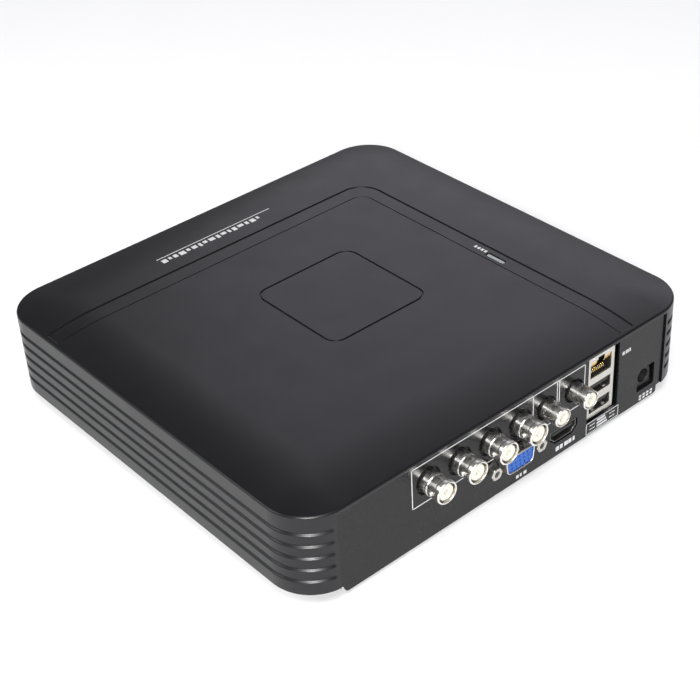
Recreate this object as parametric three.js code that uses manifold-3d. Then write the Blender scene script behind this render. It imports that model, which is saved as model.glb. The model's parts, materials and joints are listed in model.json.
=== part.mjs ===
// A compact four-channel digital video recorder with its hard drive.
// Millimetres, +Z up. The front faces -Y and the connector panel faces +Y.
// The origin is on the resting plane, midway along the overall width and depth.

import * as THREE from 'three';
import { mergeVertices } from 'three/addons/utils/BufferGeometryUtils.js';
import Module from 'manifold-3d';

const wasm = await Module();
wasm.setup();

// ---------------------------------------------------------------- driving dimensions

// Housing. Its own middle is x = 0, y = 0.
const HALF_WIDTH = 106;
const HALF_DEPTH = 101;
const CORNER_RADIUS = 19.5;
const CORNER_STEPS = 8;
const INNER_CORNER_RADIUS = 5;
const WALL = 2.2;
const GAP = 0.3;
const PAST = 1;
const SHELL_BOTTOM = 5.9;
const SHELL_TOP = 45.75;
const EDGE_START = 42.3;
const EDGE_RADIUS = 1.1;
const EDGE_STEPS = 3;
const CROWN_RUN = 26;
const CROWN_STEPS = 5;
const LOWER_CHAMFER = 0.6;

// Grooves around the sides
const GROOVE_COUNT = 5;
const GROOVE_FIRST = 13.05;
const GROOVE_PITCH = 5.61;
const GROOVE_DEPTH = 0.75;
const GROOVE_HALF_HEIGHT = 1.15;
const GROOVE_FLOOR_SHARE = 0.35;
const GROOVE_END_X = 91;

// Lines pressed into the roof: an L-shaped band between two lines, and a rounded square
const LINE_WIDTH = 0.8;
const LINE_DEPTH = 0.5;
const BAND_DEPTH = 0.25;
const BAND_FRONT_Y = -65.5;
const BAND_BACK_Y = -57.3;
const BAND_LEFT_X = -70;
const BAND_RIGHT_X = -62.6;
const BAND_OUTER_RADIUS = 11;
const BAND_INNER_RADIUS = 6;
const BAND_END_INSET = 1.9;
const SQUARE_HALF = 25.9;
const SQUARE_RADIUS = 6;

// Connector panel and bottom tray, pressed from sheet steel
const SHEET = 1.2;
const PANEL_FACE = 100;
const PANEL_BACK = PANEL_FACE - SHEET;
const SEAM_X = 89.4;
const SEAM_Z = 41.5;
const PANEL_HALF = SEAM_X - GAP;
const PANEL_FOOT_HALF = 86.9;
const PANEL_FOOT_RADIUS = 2;
const TRAY_BOTTOM = 2;
const PAN_HALF = 86.9;
const PAN_FRONT = -88;
const PAN_CORNER = 4;
const BRIM_Z = 6.2;
const VENT_COUNT = 9;
const VENT_PITCH = 7;
const VENT_LENGTH = 28;
const VENT_HALF_WIDTH = 1.2;
const VENT_BANKS_Y = [34, -62];

// Feet
const FOOT_RADIUS = 8;
const FOOT_X = 74;
const FOOT_FRONT_Y = -76;
const FOOT_REAR_Y = 84;
const FOOT_EDGE = 0.7;
const FOOT_STEM_RADIUS = 2.4;
const FOOT_BARB = 1;
const FOOT_BARB_LEAD = 0.4;
const FOOT_HOLE_RADIUS = 2.8;

// Screws that hold the shell to the tray
const CASE_SCREW_X = 95.5;
const CASE_SCREW_Y = 83.5;
const CASE_BOSS_RADIUS = 3.6;
const CASE_PILOT_RADIUS = 1.75;
const CASE_PILOT_DEPTH = 10;
const CASE_HOLE_RADIUS = 1.8;
const CASE_HEAD_Z = 4.2;
const CASE_SCREW = { headRadius: 2.9, headHeight: 1.7, shankRadius: 1.35, length: 11.8 };

// Circuit board
const BOARD_LEFT = -84.8;
const BOARD_RIGHT = 58;
const BOARD_FRONT = 18.5;
const BOARD_REAR = 96;
const BOARD_BOTTOM = 7;
const BOARD_TOP = 8.6;
const ON_BOARD = BOARD_TOP + GAP;
const BOARD_SCREWS = [[-82, 23.5], [52.5, 23.5]];
const BOARD_RESTS = [[52.5, 88], [-67.5, 88]];
const BOARD_POST_RADIUS = 2.8;
const BOARD_POST_BORE = 1.6;
const BOARD_HOLE_RADIUS = 1.8;
const BOARD_SCREW = { headRadius: 2.8, headHeight: 1.6, shankRadius: 1.3, length: 5.8 };
const DATA_SOCKET = { across: [-57.5, -44.5], along: [19.9, 25.1], top: 15 };
const POWER_SOCKET = { across: [-38.5, -28], along: [19.9, 25.9], top: 14 };
const PROCESSOR_PLACE = [6, 56];
const MEMORY_PLACE = [34, 55];
const COIN_CELL_PLACE = [-40, 48];
const COIN_CELL_RADIUS = 10;
const COIN_CELL_HEIGHT = 3.2;
const COIN_CELL_FLOOR = 1;
const BUZZER_PLACE = [-15, 32];
const CAPACITOR_PLACE = [-74, 62];

// Sockets, each placed on the panel's face by its own middle
const SOCKET_BACK = -12;
const SOCKET_HOLE_CLEARANCE = 0.5;
const COLLAR_RADIUS = 4.9;
const COLLAR_BORE = 5.25;
const VIDEO_JACK_X = 44.8;
const VIDEO_JACK_PITCH = 16.28;
const VIDEO_JACK_COUNT = 4;
const VIDEO_JACK_Z = 30.6;
const VIDEO_JACK_REACH = 10.4;
const VIDEO_BORE = 4.15;
const VIDEO_NECK_RADIUS = 4.65;
const VIDEO_LIP_RADIUS = 4.95;
const VIDEO_HOLE_RADIUS = 6.1;
const VIDEO_LUG_RADIUS = 1;
const VIDEO_LUG_SPAN = 10.8;
const VIDEO_LUG_Y = 6;
const VIDEO_CONTACT_RADIUS = 1.1;
const AUDIO_JACK_X = [-18.6, -34.6];
const AUDIO_JACK_Z = 30.1;
const AUDIO_JACK_REACH = 9.2;
const AUDIO_BORE = 3.55;
const AUDIO_NECK_RADIUS = 4.15;
const AUDIO_HOLE_RADIUS = 5.3;
const AUDIO_CONTACT_RADIUS = 1.65;
const VGA_X = 0.4;
const VGA_Z = 17.3;
const VGA_REACH = 5;
const VGA_SCREW_X = 12.495;
const VGA_SCREW_HOLE = 1.9;
const VGA_METAL = 0.5;
const VGA_CONTACT_PITCH = 2.29;
const VGA_ROW_PITCH = 1.98;
const VGA_ROW_STEP = 0.38;
const HDMI_X = -29.4;
const HDMI_Z = 12.2;
const HDMI_METAL = 0.45;
const POWER_X = -79.4;
const POWER_Z = 13.6;
const POWER_HOLE_HALF = 5.3;
const POWER_BODY_RADIUS = 4.5;
const POWER_BORE = 3.2;
const POWER_PIN_RADIUS = 1.05;

// Network and USB tower, open to the panel's upper edge
const TOWER_X = -51.8;
const TOWER_HALF = 8.05;
const TOWER_TOP = 39.4;
const TOWER_FRONT = 98.9;
const TOWER_BACK = 78;
const TOWER_SKIN = 0.7;
const TOWER_MOUTH_HALF = 6.2;
const NOTCH_LEFT = -61.7;
const NOTCH_RIGHT = -43.2;
const NETWORK_MOUTH = { bottom: 29.2, top: 36.8, depth: 12 };
const LATCH_NOTCH = { half: 1.9, top: 37.9, depth: 9 };
const USB_MOUTHS = [{ bottom: 20.6, top: 25.8, depth: 10 }, { bottom: 11.6, top: 16.8, depth: 10 }];

// Light guide
const GUIDE_X = -65.9;
const GUIDE_Y = 25.8;
const GUIDE_HALF_LENGTH = 5;
const GUIDE_HALF_WIDTH = 0.9;
const GUIDE_STALK_HALF = 2;
const GUIDE_BOTTOM = 10.3;
const GUIDE_HEAD = 1.5;
const GUIDE_RECESS = 0.35;

// Hard drive, in its own frame: its middle is x = 0, y = 0 and its underside is z = 0
const DRIVE_PLACE = [11.7, -35.6, 5.2];
const DRIVE_HALF_LENGTH = 73.5;
const DRIVE_HALF_WIDTH = 50.8;
const DRIVE_DECK = 24.4;
const DRIVE_FLOOR = 6.3;
const DRIVE_CORNER = 3;
const BOARD_ON_DRIVE = { right: 58.3, half: 38.5, heights: [0.4, 1.6] };
const PLATTER_RADIUS = 47.5;
const PLATTER_Z = 14.8;
const PLATTER_HALF_THICKNESS = 0.65;
const HUB_RADIUS = 12.5;
const HUB_HEIGHTS = [7.8, 18.8];
const SPINDLE_X = 22.5;
const SPINDLE_RADIUS = 3.5;
const PIVOT_X = -35.5;
const PIVOT_RADIUS = 2.5;
const POST_TOP = 19.8;
const ARM_LENGTH = 50;
const ARM_ROOT_HALF = 7;
const ARM_TIP_HALF = 1.2;
const ARM_TIP_LENGTH = 4;
const ARM_FROM_DISC = 2.35;
const ARM_HALF_THICKNESS = 0.65;
const ARM_SLEEVE_RADIUS = 8;
const ARM_SLEEVE_HEIGHTS = [8.8, 20.3];
const COIL_RADIUS = 25;
const COIL_HALF_ANGLE = THREE.MathUtils.degToRad(21.6);
const ARM_PARK = THREE.MathUtils.degToRad(54.5);
const DRIVE_SCREW_X = [-43.8, 0.6];
const DRIVE_SCREW_Y = 47.2;
const DRIVE_SCREW = { headRadius: 3.6, headHeight: 1.5, shankRadius: 1.5, length: 7.3 };
const DRIVE_SCREW_HEAD_Z = 2.2;
const DRIVE_PAD_RADIUS = 5.6;
const DRIVE_WELL_RADIUS = 4.4;
const DRIVE_PAD_SKIN = 0.9;
const DRIVE_HOLE_RADIUS = 1.8;
const DATA_PLUG_Y = [2.6, 16.6];
const POWER_PLUG_Y = [-25.4, -3.4];
const DRIVE_PLUG_LENGTH = 11;
const DRIVE_PLUG_HEIGHTS = [8, 13.6];
const DATA_CABLE_RADIUS = 2;
const POWER_CABLE_RADIUS = 2.3;

// The jacks reach past the housing, so the overall middle lies behind the housing's middle.
const DEPTH_SHIFT = (PANEL_FACE + VIDEO_JACK_REACH - HALF_DEPTH) / 2;

// ---------------------------------------------------------------- solid helpers

function signedVolume(positions, triangles) {
  const a = new THREE.Vector3();
  const b = new THREE.Vector3();
  const c = new THREE.Vector3();
  let volume = 0;
  for (let i = 0; i < triangles.length; i += 3) {
    a.fromArray(positions, triangles[i] * 3);
    b.fromArray(positions, triangles[i + 1] * 3);
    c.fromArray(positions, triangles[i + 2] * 3);
    volume += a.dot(b.cross(c)) / 6;
  }
  return volume;
}

// Turns a closed geometry into a solid, dropping flat triangles and facing it outward
function solid(geometry) {
  const plain = geometry.clone();
  plain.deleteAttribute('normal');
  plain.deleteAttribute('uv');
  const merged = mergeVertices(plain, 1e-4);
  const positions = merged.attributes.position.array;
  const corners = merged.index.array;
  const triangles = [];
  for (let i = 0; i < corners.length; i += 3) {
    const [a, b, c] = [corners[i], corners[i + 1], corners[i + 2]];
    if (a !== b && b !== c && c !== a) triangles.push(a, b, c);
  }
  if (signedVolume(positions, triangles) < 0) triangles.reverse();
  return new wasm.Manifold(new wasm.Mesh({
    numProp: 3,
    vertProperties: new Float32Array(positions),
    triVerts: new Uint32Array(triangles),
  }));
}

function joined(...solids) {
  return solids.reduce((whole, next) => whole.add(next));
}

function cut(whole, ...tools) {
  return tools.reduce((rest, tool) => rest.subtract(tool), whole);
}

function block([x0, x1], [y0, y1], [z0, z1]) {
  const box = new THREE.BoxGeometry(x1 - x0, y1 - y0, z1 - z0);
  return solid(box.translate((x0 + x1) / 2, (y0 + y1) / 2, (z0 + z1) / 2));
}

function around(middle, half) {
  return [middle - half, middle + half];
}

// An upright round bar
function post([x, y], radius, [z0, z1], sides = 16) {
  const cylinder = new THREE.CylinderGeometry(radius, radius, z1 - z0, sides);
  return solid(cylinder.rotateX(Math.PI / 2).translate(x, y, (z0 + z1) / 2));
}

// A round bar along Y
function bar([x, z], radius, [y0, y1], sides = 20) {
  const cylinder = new THREE.CylinderGeometry(radius, radius, y1 - y0, sides);
  return solid(cylinder.translate(x, (y0 + y1) / 2, z));
}

// A piece turned about the Y axis, from [radius, y] pairs
function turnedY(profile, sides = 20) {
  const points = profile.map(([radius, y]) => new THREE.Vector2(radius, y));
  return solid(new THREE.LatheGeometry(points, sides));
}

// A piece turned about the Z axis, from [radius, z] pairs
function turnedZ(profile, sides = 16) {
  const points = profile.map(([radius, z]) => new THREE.Vector2(radius, z));
  return solid(new THREE.LatheGeometry(points, sides).rotateX(Math.PI / 2));
}

function roundedRectangle([x0, x1], [y0, y1], radius) {
  const shape = new THREE.Shape();
  shape.absarc(x1 - radius, y0 + radius, radius, -Math.PI / 2, 0);
  shape.absarc(x1 - radius, y1 - radius, radius, 0, Math.PI / 2);
  shape.absarc(x0 + radius, y1 - radius, radius, Math.PI / 2, Math.PI);
  shape.absarc(x0 + radius, y0 + radius, radius, Math.PI, Math.PI * 1.5);
  return shape;
}

// An outline in X and Y, raised between two heights
function prismZ(shape, [z0, z1], curveSegments = 6) {
  const options = { depth: z1 - z0, bevelEnabled: false, curveSegments };
  return solid(new THREE.ExtrudeGeometry(shape, options).translate(0, 0, z0));
}

// An outline in X and Z, running between two depths
function prismY(shape, [y0, y1], curveSegments = 4) {
  const options = { depth: y1 - y0, bevelEnabled: false, curveSegments };
  return solid(new THREE.ExtrudeGeometry(shape, options).rotateX(Math.PI / 2).translate(0, y1, 0));
}

// A round cable through the points given
function cable(points, radius) {
  const path = new THREE.CatmullRomCurve3(points.map((point) => new THREE.Vector3(...point)));
  const section = new THREE.Shape().absarc(0, 0, radius, 0, Math.PI * 2);
  const options = { extrudePath: path, steps: 18, curveSegments: 2, bevelEnabled: false };
  return solid(new THREE.ExtrudeGeometry(section, options));
}

// ---------------------------------------------------------------- shapes that follow the housing

const CENTRE = Infinity;

// Station i of the housing's outline, moved in by inset
function outlinePoint(i, inset) {
  if (inset === CENTRE) return [0, 0];
  const corner = Math.floor(i / (CORNER_STEPS + 1)) % 4;
  const step = i % (CORNER_STEPS + 1);
  const angle = (corner + step / CORNER_STEPS) * Math.PI / 2;
  const radius = Math.max(CORNER_RADIUS - inset, INNER_CORNER_RADIUS);
  const sideX = corner === 0 || corner === 3 ? 1 : -1;
  const sideY = corner < 2 ? 1 : -1;
  return [
    sideX * (HALF_WIDTH - inset - radius) + radius * Math.cos(angle),
    sideY * (HALF_DEPTH - inset - radius) + radius * Math.sin(angle),
  ];
}

// A section of [inset, z] pairs carried around the housing's outline.
// The lathe gives the closed mesh, and each of its stations moves to its place on the outline.
function aroundHousing(section) {
  const stations = 4 * (CORNER_STEPS + 1);
  const profile = section.map(([inset, z]) => new THREE.Vector2(inset === CENTRE ? 0 : 1, z));
  const lathe = new THREE.LatheGeometry(profile, stations);
  const positions = lathe.attributes.position;
  for (let i = 0; i <= stations; i += 1) {
    section.forEach(([inset, z], j) => {
      const [x, y] = outlinePoint(i % stations, inset);
      positions.setXYZ(i * section.length + j, x, y, z);
    });
  }
  return solid(lathe);
}

// Roof height at a distance in from the edge: a soft fall that flattens over CROWN_RUN
function roofHeight(inset) {
  const edgeTop = EDGE_START + EDGE_RADIUS;
  const remaining = Math.max(0, 1 - (inset - EDGE_RADIUS) / CROWN_RUN);
  return SHELL_TOP - (SHELL_TOP - edgeTop) * remaining ** 2;
}

function outerHousing() {
  const section = [[CENTRE, SHELL_BOTTOM], [LOWER_CHAMFER, SHELL_BOTTOM]];
  section.push([0, SHELL_BOTTOM + LOWER_CHAMFER], [0, EDGE_START]);
  for (let step = 1; step <= EDGE_STEPS; step += 1) {
    const angle = step / EDGE_STEPS * Math.PI / 2;
    section.push([EDGE_RADIUS * (1 - Math.cos(angle)), EDGE_START + EDGE_RADIUS * Math.sin(angle)]);
  }
  for (let step = 1; step <= CROWN_STEPS; step += 1) {
    const inset = EDGE_RADIUS + CROWN_RUN * step / CROWN_STEPS;
    section.push([inset, roofHeight(inset)]);
  }
  section.push([CENTRE, SHELL_TOP]);
  return aroundHousing(section);
}

function housingHollow() {
  const below = SHELL_BOTTOM - PAST;
  const section = [[CENTRE, below], [WALL, below], [WALL, EDGE_START - WALL / 2]];
  for (const inset of [WALL + 1, CROWN_RUN / 2, CROWN_RUN + EDGE_RADIUS]) {
    section.push([inset, roofHeight(inset) - WALL]);
  }
  section.push([CENTRE, SHELL_TOP - WALL]);
  return aroundHousing(section);
}

// One groove around the sides, which stops short of the seams beside the connector panel
function sideGroove(z) {
  const half = GROOVE_HALF_HEIGHT;
  const floorHalf = half * GROOVE_FLOOR_SHARE;
  const ring = aroundHousing([
    [-PAST, z - half],
    [0, z - half],
    [GROOVE_DEPTH, z - floorHalf],
    [GROOVE_DEPTH, z + floorHalf],
    [0, z + half],
    [-PAST, z + half],
    [-PAST, z - half],
  ]);
  const rear = [HALF_DEPTH / 2, HALF_DEPTH + 2 * PAST];
  return ring.subtract(block(around(0, GROOVE_END_X), rear, around(z, GROOVE_PITCH)));
}

// The area inside one of the band's two curves, which turns one rounded corner
function bandCurve(left, front, radius, heights, reach) {
  const shape = new THREE.Shape();
  shape.moveTo(HALF_WIDTH + reach, front);
  shape.lineTo(HALF_WIDTH + reach, HALF_DEPTH + reach);
  shape.lineTo(left, HALF_DEPTH + reach);
  shape.lineTo(left, front + radius);
  shape.absarc(left + radius, front + radius, radius, Math.PI, Math.PI * 1.5);
  return prismZ(shape, heights);
}

// The band's area, with both its curves moved outward by grow
function bandArea(grow, [z0, z1]) {
  const outer = bandCurve(BAND_LEFT_X - grow, BAND_FRONT_Y - grow, BAND_OUTER_RADIUS, [z0, z1], PAST);
  const inner = bandCurve(
    BAND_RIGHT_X + grow,
    BAND_BACK_Y + grow,
    BAND_INNER_RADIUS,
    [z0 - PAST, z1 + PAST],
    2 * PAST,
  );
  return outer.subtract(inner);
}

function squareLine([z0, z1]) {
  const outerHalf = SQUARE_HALF + LINE_WIDTH / 2;
  const innerHalf = SQUARE_HALF - LINE_WIDTH / 2;
  const outer = roundedRectangle(around(0, outerHalf), around(0, outerHalf), SQUARE_RADIUS);
  const inner = roundedRectangle(around(0, innerHalf), around(0, innerHalf), SQUARE_RADIUS);
  return prismZ(outer, [z0, z1]).subtract(prismZ(inner, [z0 - PAST, z1 + PAST]));
}

// ---------------------------------------------------------------- housing pieces

const CASE_SCREW_PLACES = [-CASE_SCREW_Y, CASE_SCREW_Y].flatMap((y) => (
  [[-CASE_SCREW_X, y], [CASE_SCREW_X, y]]
));
const FOOT_PLACES = {
  front_left: [-FOOT_X, FOOT_FRONT_Y],
  front_right: [FOOT_X, FOOT_FRONT_Y],
  rear_left: [-FOOT_X, FOOT_REAR_Y],
  rear_right: [FOOT_X, FOOT_REAR_Y],
};
const DRIVE_SCREW_PLACES = [-DRIVE_SCREW_Y, DRIVE_SCREW_Y].flatMap((y) => (
  DRIVE_SCREW_X.map((x) => [DRIVE_PLACE[0] + x, DRIVE_PLACE[1] + y])
));

function topShell() {
  const outer = outerHousing();
  const roofRange = [EDGE_START - 2 * PAST, SHELL_TOP + PAST];
  const widerRange = [roofRange[0] - PAST, roofRange[1] + PAST];
  const belowLines = outer.translate([0, 0, -LINE_DEPTH]);
  const belowBand = outer.translate([0, 0, -BAND_DEPTH]);
  const lines = bandArea(LINE_WIDTH / 2, roofRange).subtract(bandArea(-LINE_WIDTH / 2, widerRange));
  const insideEdge = aroundHousing([
    [CENTRE, widerRange[0]],
    [BAND_END_INSET, widerRange[0]],
    [BAND_END_INSET, widerRange[1]],
    [CENTRE, widerRange[1]],
  ]);
  const panelWindow = block(
    around(0, SEAM_X),
    [HALF_DEPTH - WALL - PAST, HALF_DEPTH + PAST],
    [SHELL_BOTTOM - PAST, SEAM_Z],
  );
  const guideSlot = block(
    around(GUIDE_X, GUIDE_HALF_WIDTH + GAP),
    around(GUIDE_Y, GUIDE_HALF_LENGTH + GAP),
    widerRange,
  );
  let shell = cut(
    outer,
    housingHollow(),
    panelWindow,
    lines.subtract(belowLines).intersect(insideEdge),
    bandArea(0, roofRange).subtract(belowBand).intersect(insideEdge),
    squareLine(roofRange).subtract(belowLines),
    guideSlot,
  );
  for (let i = 0; i < GROOVE_COUNT; i += 1) {
    shell = shell.subtract(sideGroove(GROOVE_FIRST + i * GROOVE_PITCH));
  }
  const bossFoot = BRIM_Z + SHEET + GAP;
  for (const place of CASE_SCREW_PLACES) {
    shell = shell.add(post(place, CASE_BOSS_RADIUS, [bossFoot, SHELL_TOP - WALL]));
    const pilot = [bossFoot - PAST, bossFoot + CASE_PILOT_DEPTH];
    shell = shell.subtract(post(place, CASE_PILOT_RADIUS, pilot, 12));
  }
  return shell;
}

function baseTray() {
  const rear = PANEL_BACK - GAP;
  const brimInset = WALL + GAP;
  const brimShape = roundedRectangle(
    around(0, HALF_WIDTH - brimInset),
    [-HALF_DEPTH + brimInset, rear],
    CORNER_RADIUS - brimInset,
  );
  const panShape = roundedRectangle(around(0, PAN_HALF), [PAN_FRONT, rear], PAN_CORNER);
  const insideShape = roundedRectangle(
    around(0, PAN_HALF - SHEET),
    [PAN_FRONT + SHEET, rear - SHEET],
    PAN_CORNER - SHEET,
  );
  const floorTop = TRAY_BOTTOM + SHEET;
  const throughFloor = [TRAY_BOTTOM - PAST, floorTop + PAST];
  let tray = joined(
    prismZ(brimShape, [BRIM_Z, BRIM_Z + SHEET]),
    prismZ(panShape, [TRAY_BOTTOM, BRIM_Z + SHEET]),
  ).subtract(prismZ(insideShape, [floorTop, BRIM_Z + SHEET + PAST]));
  for (const place of [...BOARD_SCREWS, ...BOARD_RESTS]) {
    tray = tray.add(post(place, BOARD_POST_RADIUS, [floorTop - SHEET / 2, BOARD_BOTTOM - GAP], 12));
  }
  for (const place of BOARD_SCREWS) {
    tray = tray.subtract(post(place, BOARD_POST_BORE, [TRAY_BOTTOM - PAST, BOARD_BOTTOM], 12));
  }
  // The drive stands on four raised pads, whose screws sit in wells from below.
  const padTop = DRIVE_PLACE[2] - GAP;
  for (const place of DRIVE_SCREW_PLACES) {
    tray = tray.add(post(place, DRIVE_PAD_RADIUS, [TRAY_BOTTOM, padTop]));
    tray = tray.subtract(post(place, DRIVE_WELL_RADIUS, [TRAY_BOTTOM - PAST, padTop - DRIVE_PAD_SKIN]));
    tray = tray.subtract(post(place, DRIVE_HOLE_RADIUS, [TRAY_BOTTOM, padTop + PAST], 12));
  }
  for (const place of CASE_SCREW_PLACES) {
    tray = tray.subtract(post(place, CASE_HOLE_RADIUS, [BRIM_Z - PAST, BRIM_Z + SHEET + PAST], 12));
  }
  for (const place of Object.values(FOOT_PLACES)) {
    tray = tray.subtract(post(place, FOOT_HOLE_RADIUS, throughFloor, 12));
  }
  return cut(tray, ...trayVents(throughFloor));
}

// Two banks of cooling slots in the tray's floor
function trayVents(throughFloor) {
  const slots = [];
  for (const startY of VENT_BANKS_Y) {
    for (let i = 0; i < VENT_COUNT; i += 1) {
      const x = (i - (VENT_COUNT - 1) / 2) * VENT_PITCH;
      slots.push(block(around(x, VENT_HALF_WIDTH), [startY, startY + VENT_LENGTH], throughFloor));
    }
  }
  return slots;
}

function rearPanel() {
  const upperEdge = SEAM_Z - GAP;
  const footX = PANEL_FOOT_HALF - PANEL_FOOT_RADIUS;
  const footZ = TRAY_BOTTOM + PANEL_FOOT_RADIUS;
  const shape = new THREE.Shape();
  shape.absarc(footX, footZ, PANEL_FOOT_RADIUS, -Math.PI / 2, 0);
  shape.lineTo(PANEL_HALF, SHELL_BOTTOM);
  shape.lineTo(PANEL_HALF, upperEdge);
  shape.lineTo(-PANEL_HALF, upperEdge);
  shape.lineTo(-PANEL_HALF, SHELL_BOTTOM);
  shape.absarc(-footX, footZ, PANEL_FOOT_RADIUS, Math.PI, Math.PI * 1.5);
  const through = [PANEL_BACK - PAST, PANEL_FACE + PAST];
  const inPlace = (tool, x, z) => tool.translate([x, 0, z]);
  const tools = [
    block([NOTCH_LEFT, NOTCH_RIGHT], through, [BOARD_TOP, SEAM_Z + PAST]),
    block(around(POWER_X, POWER_HOLE_HALF), through, around(POWER_Z, POWER_HOLE_HALF)),
    inPlace(prismY(hdmiOutline(SOCKET_HOLE_CLEARANCE), through), HDMI_X, HDMI_Z),
    inPlace(prismY(vgaOutline(SOCKET_HOLE_CLEARANCE), through), VGA_X, VGA_Z),
  ];
  for (const x of VIDEO_JACKS) tools.push(bar([x, VIDEO_JACK_Z], VIDEO_HOLE_RADIUS, through, 28));
  for (const x of AUDIO_JACK_X) tools.push(bar([x, AUDIO_JACK_Z], AUDIO_HOLE_RADIUS, through));
  for (const x of around(VGA_X, VGA_SCREW_X)) {
    tools.push(bar([x, VGA_Z], VGA_SCREW_HOLE, through, 16));
  }
  return cut(prismY(shape, [PANEL_BACK, PANEL_FACE]), ...tools);
}

// A rubber foot on the resting plane, pushed through the tray's floor
function foot() {
  const plateBottom = TRAY_BOTTOM - GAP;
  const plateTop = TRAY_BOTTOM + SHEET + GAP;
  return turnedZ([
    [0, 0],
    [FOOT_RADIUS - FOOT_EDGE, 0],
    [FOOT_RADIUS, plateBottom],
    [FOOT_STEM_RADIUS, plateBottom],
    [FOOT_STEM_RADIUS, plateTop],
    [FOOT_STEM_RADIUS + FOOT_BARB, plateTop],
    [FOOT_STEM_RADIUS - FOOT_BARB_LEAD, plateTop + FOOT_BARB],
    [0, plateTop + FOOT_BARB],
  ], 24);
}

// A pan-head screw standing on its head, with a cross in the head's underside
function screw({ headRadius, headHeight, shankRadius, length }) {
  const flatShare = 0.75;
  const pointLength = 0.5;
  const slitHalfWidth = 0.3;
  const body = turnedZ([
    [0, 0],
    [headRadius * flatShare, 0],
    [headRadius, headHeight / 2],
    [headRadius, headHeight],
    [shankRadius, headHeight],
    [shankRadius, length - pointLength],
    [0, length],
  ], 14);
  const arm = around(0, headRadius / 2);
  const slit = around(0, slitHalfWidth);
  const depth = [-PAST, headHeight / 2];
  return cut(body, block(arm, slit, depth), block(slit, arm, depth));
}

// ---------------------------------------------------------------- sockets
// Each is modelled with y = 0 at the panel's outer face and its own middle at x = 0, z = 0.

const VIDEO_JACKS = Array.from({ length: VIDEO_JACK_COUNT }, (_, i) => VIDEO_JACK_X - i * VIDEO_JACK_PITCH);

// A bayonet jack's metal shell: collar, waist, flared mouth and two lugs
function videoJackShell() {
  const mouth = VIDEO_JACK_REACH;
  const collarEnd = 3.8;
  const slope = 0.3;
  const lipLength = 2.2;
  const edge = 0.4;
  const body = turnedY([
    [VIDEO_BORE, SOCKET_BACK],
    [COLLAR_RADIUS, SOCKET_BACK],
    [COLLAR_RADIUS, collarEnd],
    [VIDEO_NECK_RADIUS, collarEnd + slope],
    [VIDEO_NECK_RADIUS, mouth - lipLength - slope],
    [VIDEO_LIP_RADIUS, mouth - lipLength],
    [VIDEO_LIP_RADIUS, mouth - edge],
    [VIDEO_LIP_RADIUS - edge, mouth],
    [VIDEO_BORE, mouth],
    [VIDEO_BORE, SOCKET_BACK],
  ]);
  const lugs = new THREE.CylinderGeometry(VIDEO_LUG_RADIUS, VIDEO_LUG_RADIUS, VIDEO_LUG_SPAN, 12);
  const acrossJack = solid(lugs.rotateZ(Math.PI / 2).translate(0, VIDEO_LUG_Y, 0));
  return joined(body, acrossJack.subtract(bar([0, 0], VIDEO_BORE, [0, mouth])));
}

function videoJackInsulator() {
  const back = SOCKET_BACK + 0.5;
  const nose = VIDEO_JACK_REACH - 0.7;
  const rootRadius = VIDEO_BORE - 0.35;
  const noseRadius = VIDEO_BORE - 0.65;
  const shoulder = 2;
  const edge = 0.3;
  const contactDepth = 7;
  return turnedY([
    [0, back],
    [rootRadius, back],
    [rootRadius, shoulder],
    [noseRadius, shoulder],
    [noseRadius, nose - edge],
    [noseRadius - edge, nose],
    [VIDEO_CONTACT_RADIUS, nose],
    [VIDEO_CONTACT_RADIUS, nose - contactDepth],
    [0, nose - contactDepth],
  ], 18);
}

function audioJackShell() {
  const mouth = AUDIO_JACK_REACH;
  const collarEnd = -2.5;
  const edge = 0.3;
  return turnedY([
    [AUDIO_BORE, SOCKET_BACK],
    [COLLAR_RADIUS, SOCKET_BACK],
    [COLLAR_RADIUS, collarEnd],
    [AUDIO_NECK_RADIUS, collarEnd],
    [AUDIO_NECK_RADIUS, mouth - edge],
    [AUDIO_NECK_RADIUS - edge, mouth],
    [AUDIO_BORE, mouth],
    [AUDIO_BORE, SOCKET_BACK],
  ]);
}

function audioJackInsulator() {
  const back = SOCKET_BACK + 0.5;
  const nose = AUDIO_JACK_REACH - 0.2;
  const outside = AUDIO_BORE - 0.35;
  const contactDepth = 8;
  return turnedY([
    [0, back],
    [outside, back],
    [outside, nose],
    [AUDIO_CONTACT_RADIUS, nose],
    [AUDIO_CONTACT_RADIUS, nose - contactDepth],
    [0, nose - contactDepth],
  ], 18);
}

// The moulding behind the panel that carries the jack row over the lower sockets
function jackBlock() {
  const margin = 8;
  const right = VIDEO_JACK_X + margin;
  const left = AUDIO_JACK_X[1] - margin;
  const depth = [PANEL_FACE - 14, PANEL_BACK - GAP];
  const innerLeg = [right - 24, right - 18];
  const body = joined(
    block([left, right], depth, [24.8, 37.6]),
    block([right - margin, right], depth, [ON_BOARD, VIDEO_JACK_Z]),
    block(innerLeg, depth, [ON_BOARD, VIDEO_JACK_Z]),
  );
  const boreDepth = [PANEL_FACE + SOCKET_BACK - 0.5, PANEL_BACK + PAST];
  return cut(
    body,
    ...VIDEO_JACKS.map((x) => bar([x, VIDEO_JACK_Z], COLLAR_BORE, boreDepth)),
    ...AUDIO_JACK_X.map((x) => bar([x, AUDIO_JACK_Z], COLLAR_BORE, boreDepth)),
  );
}

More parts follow.
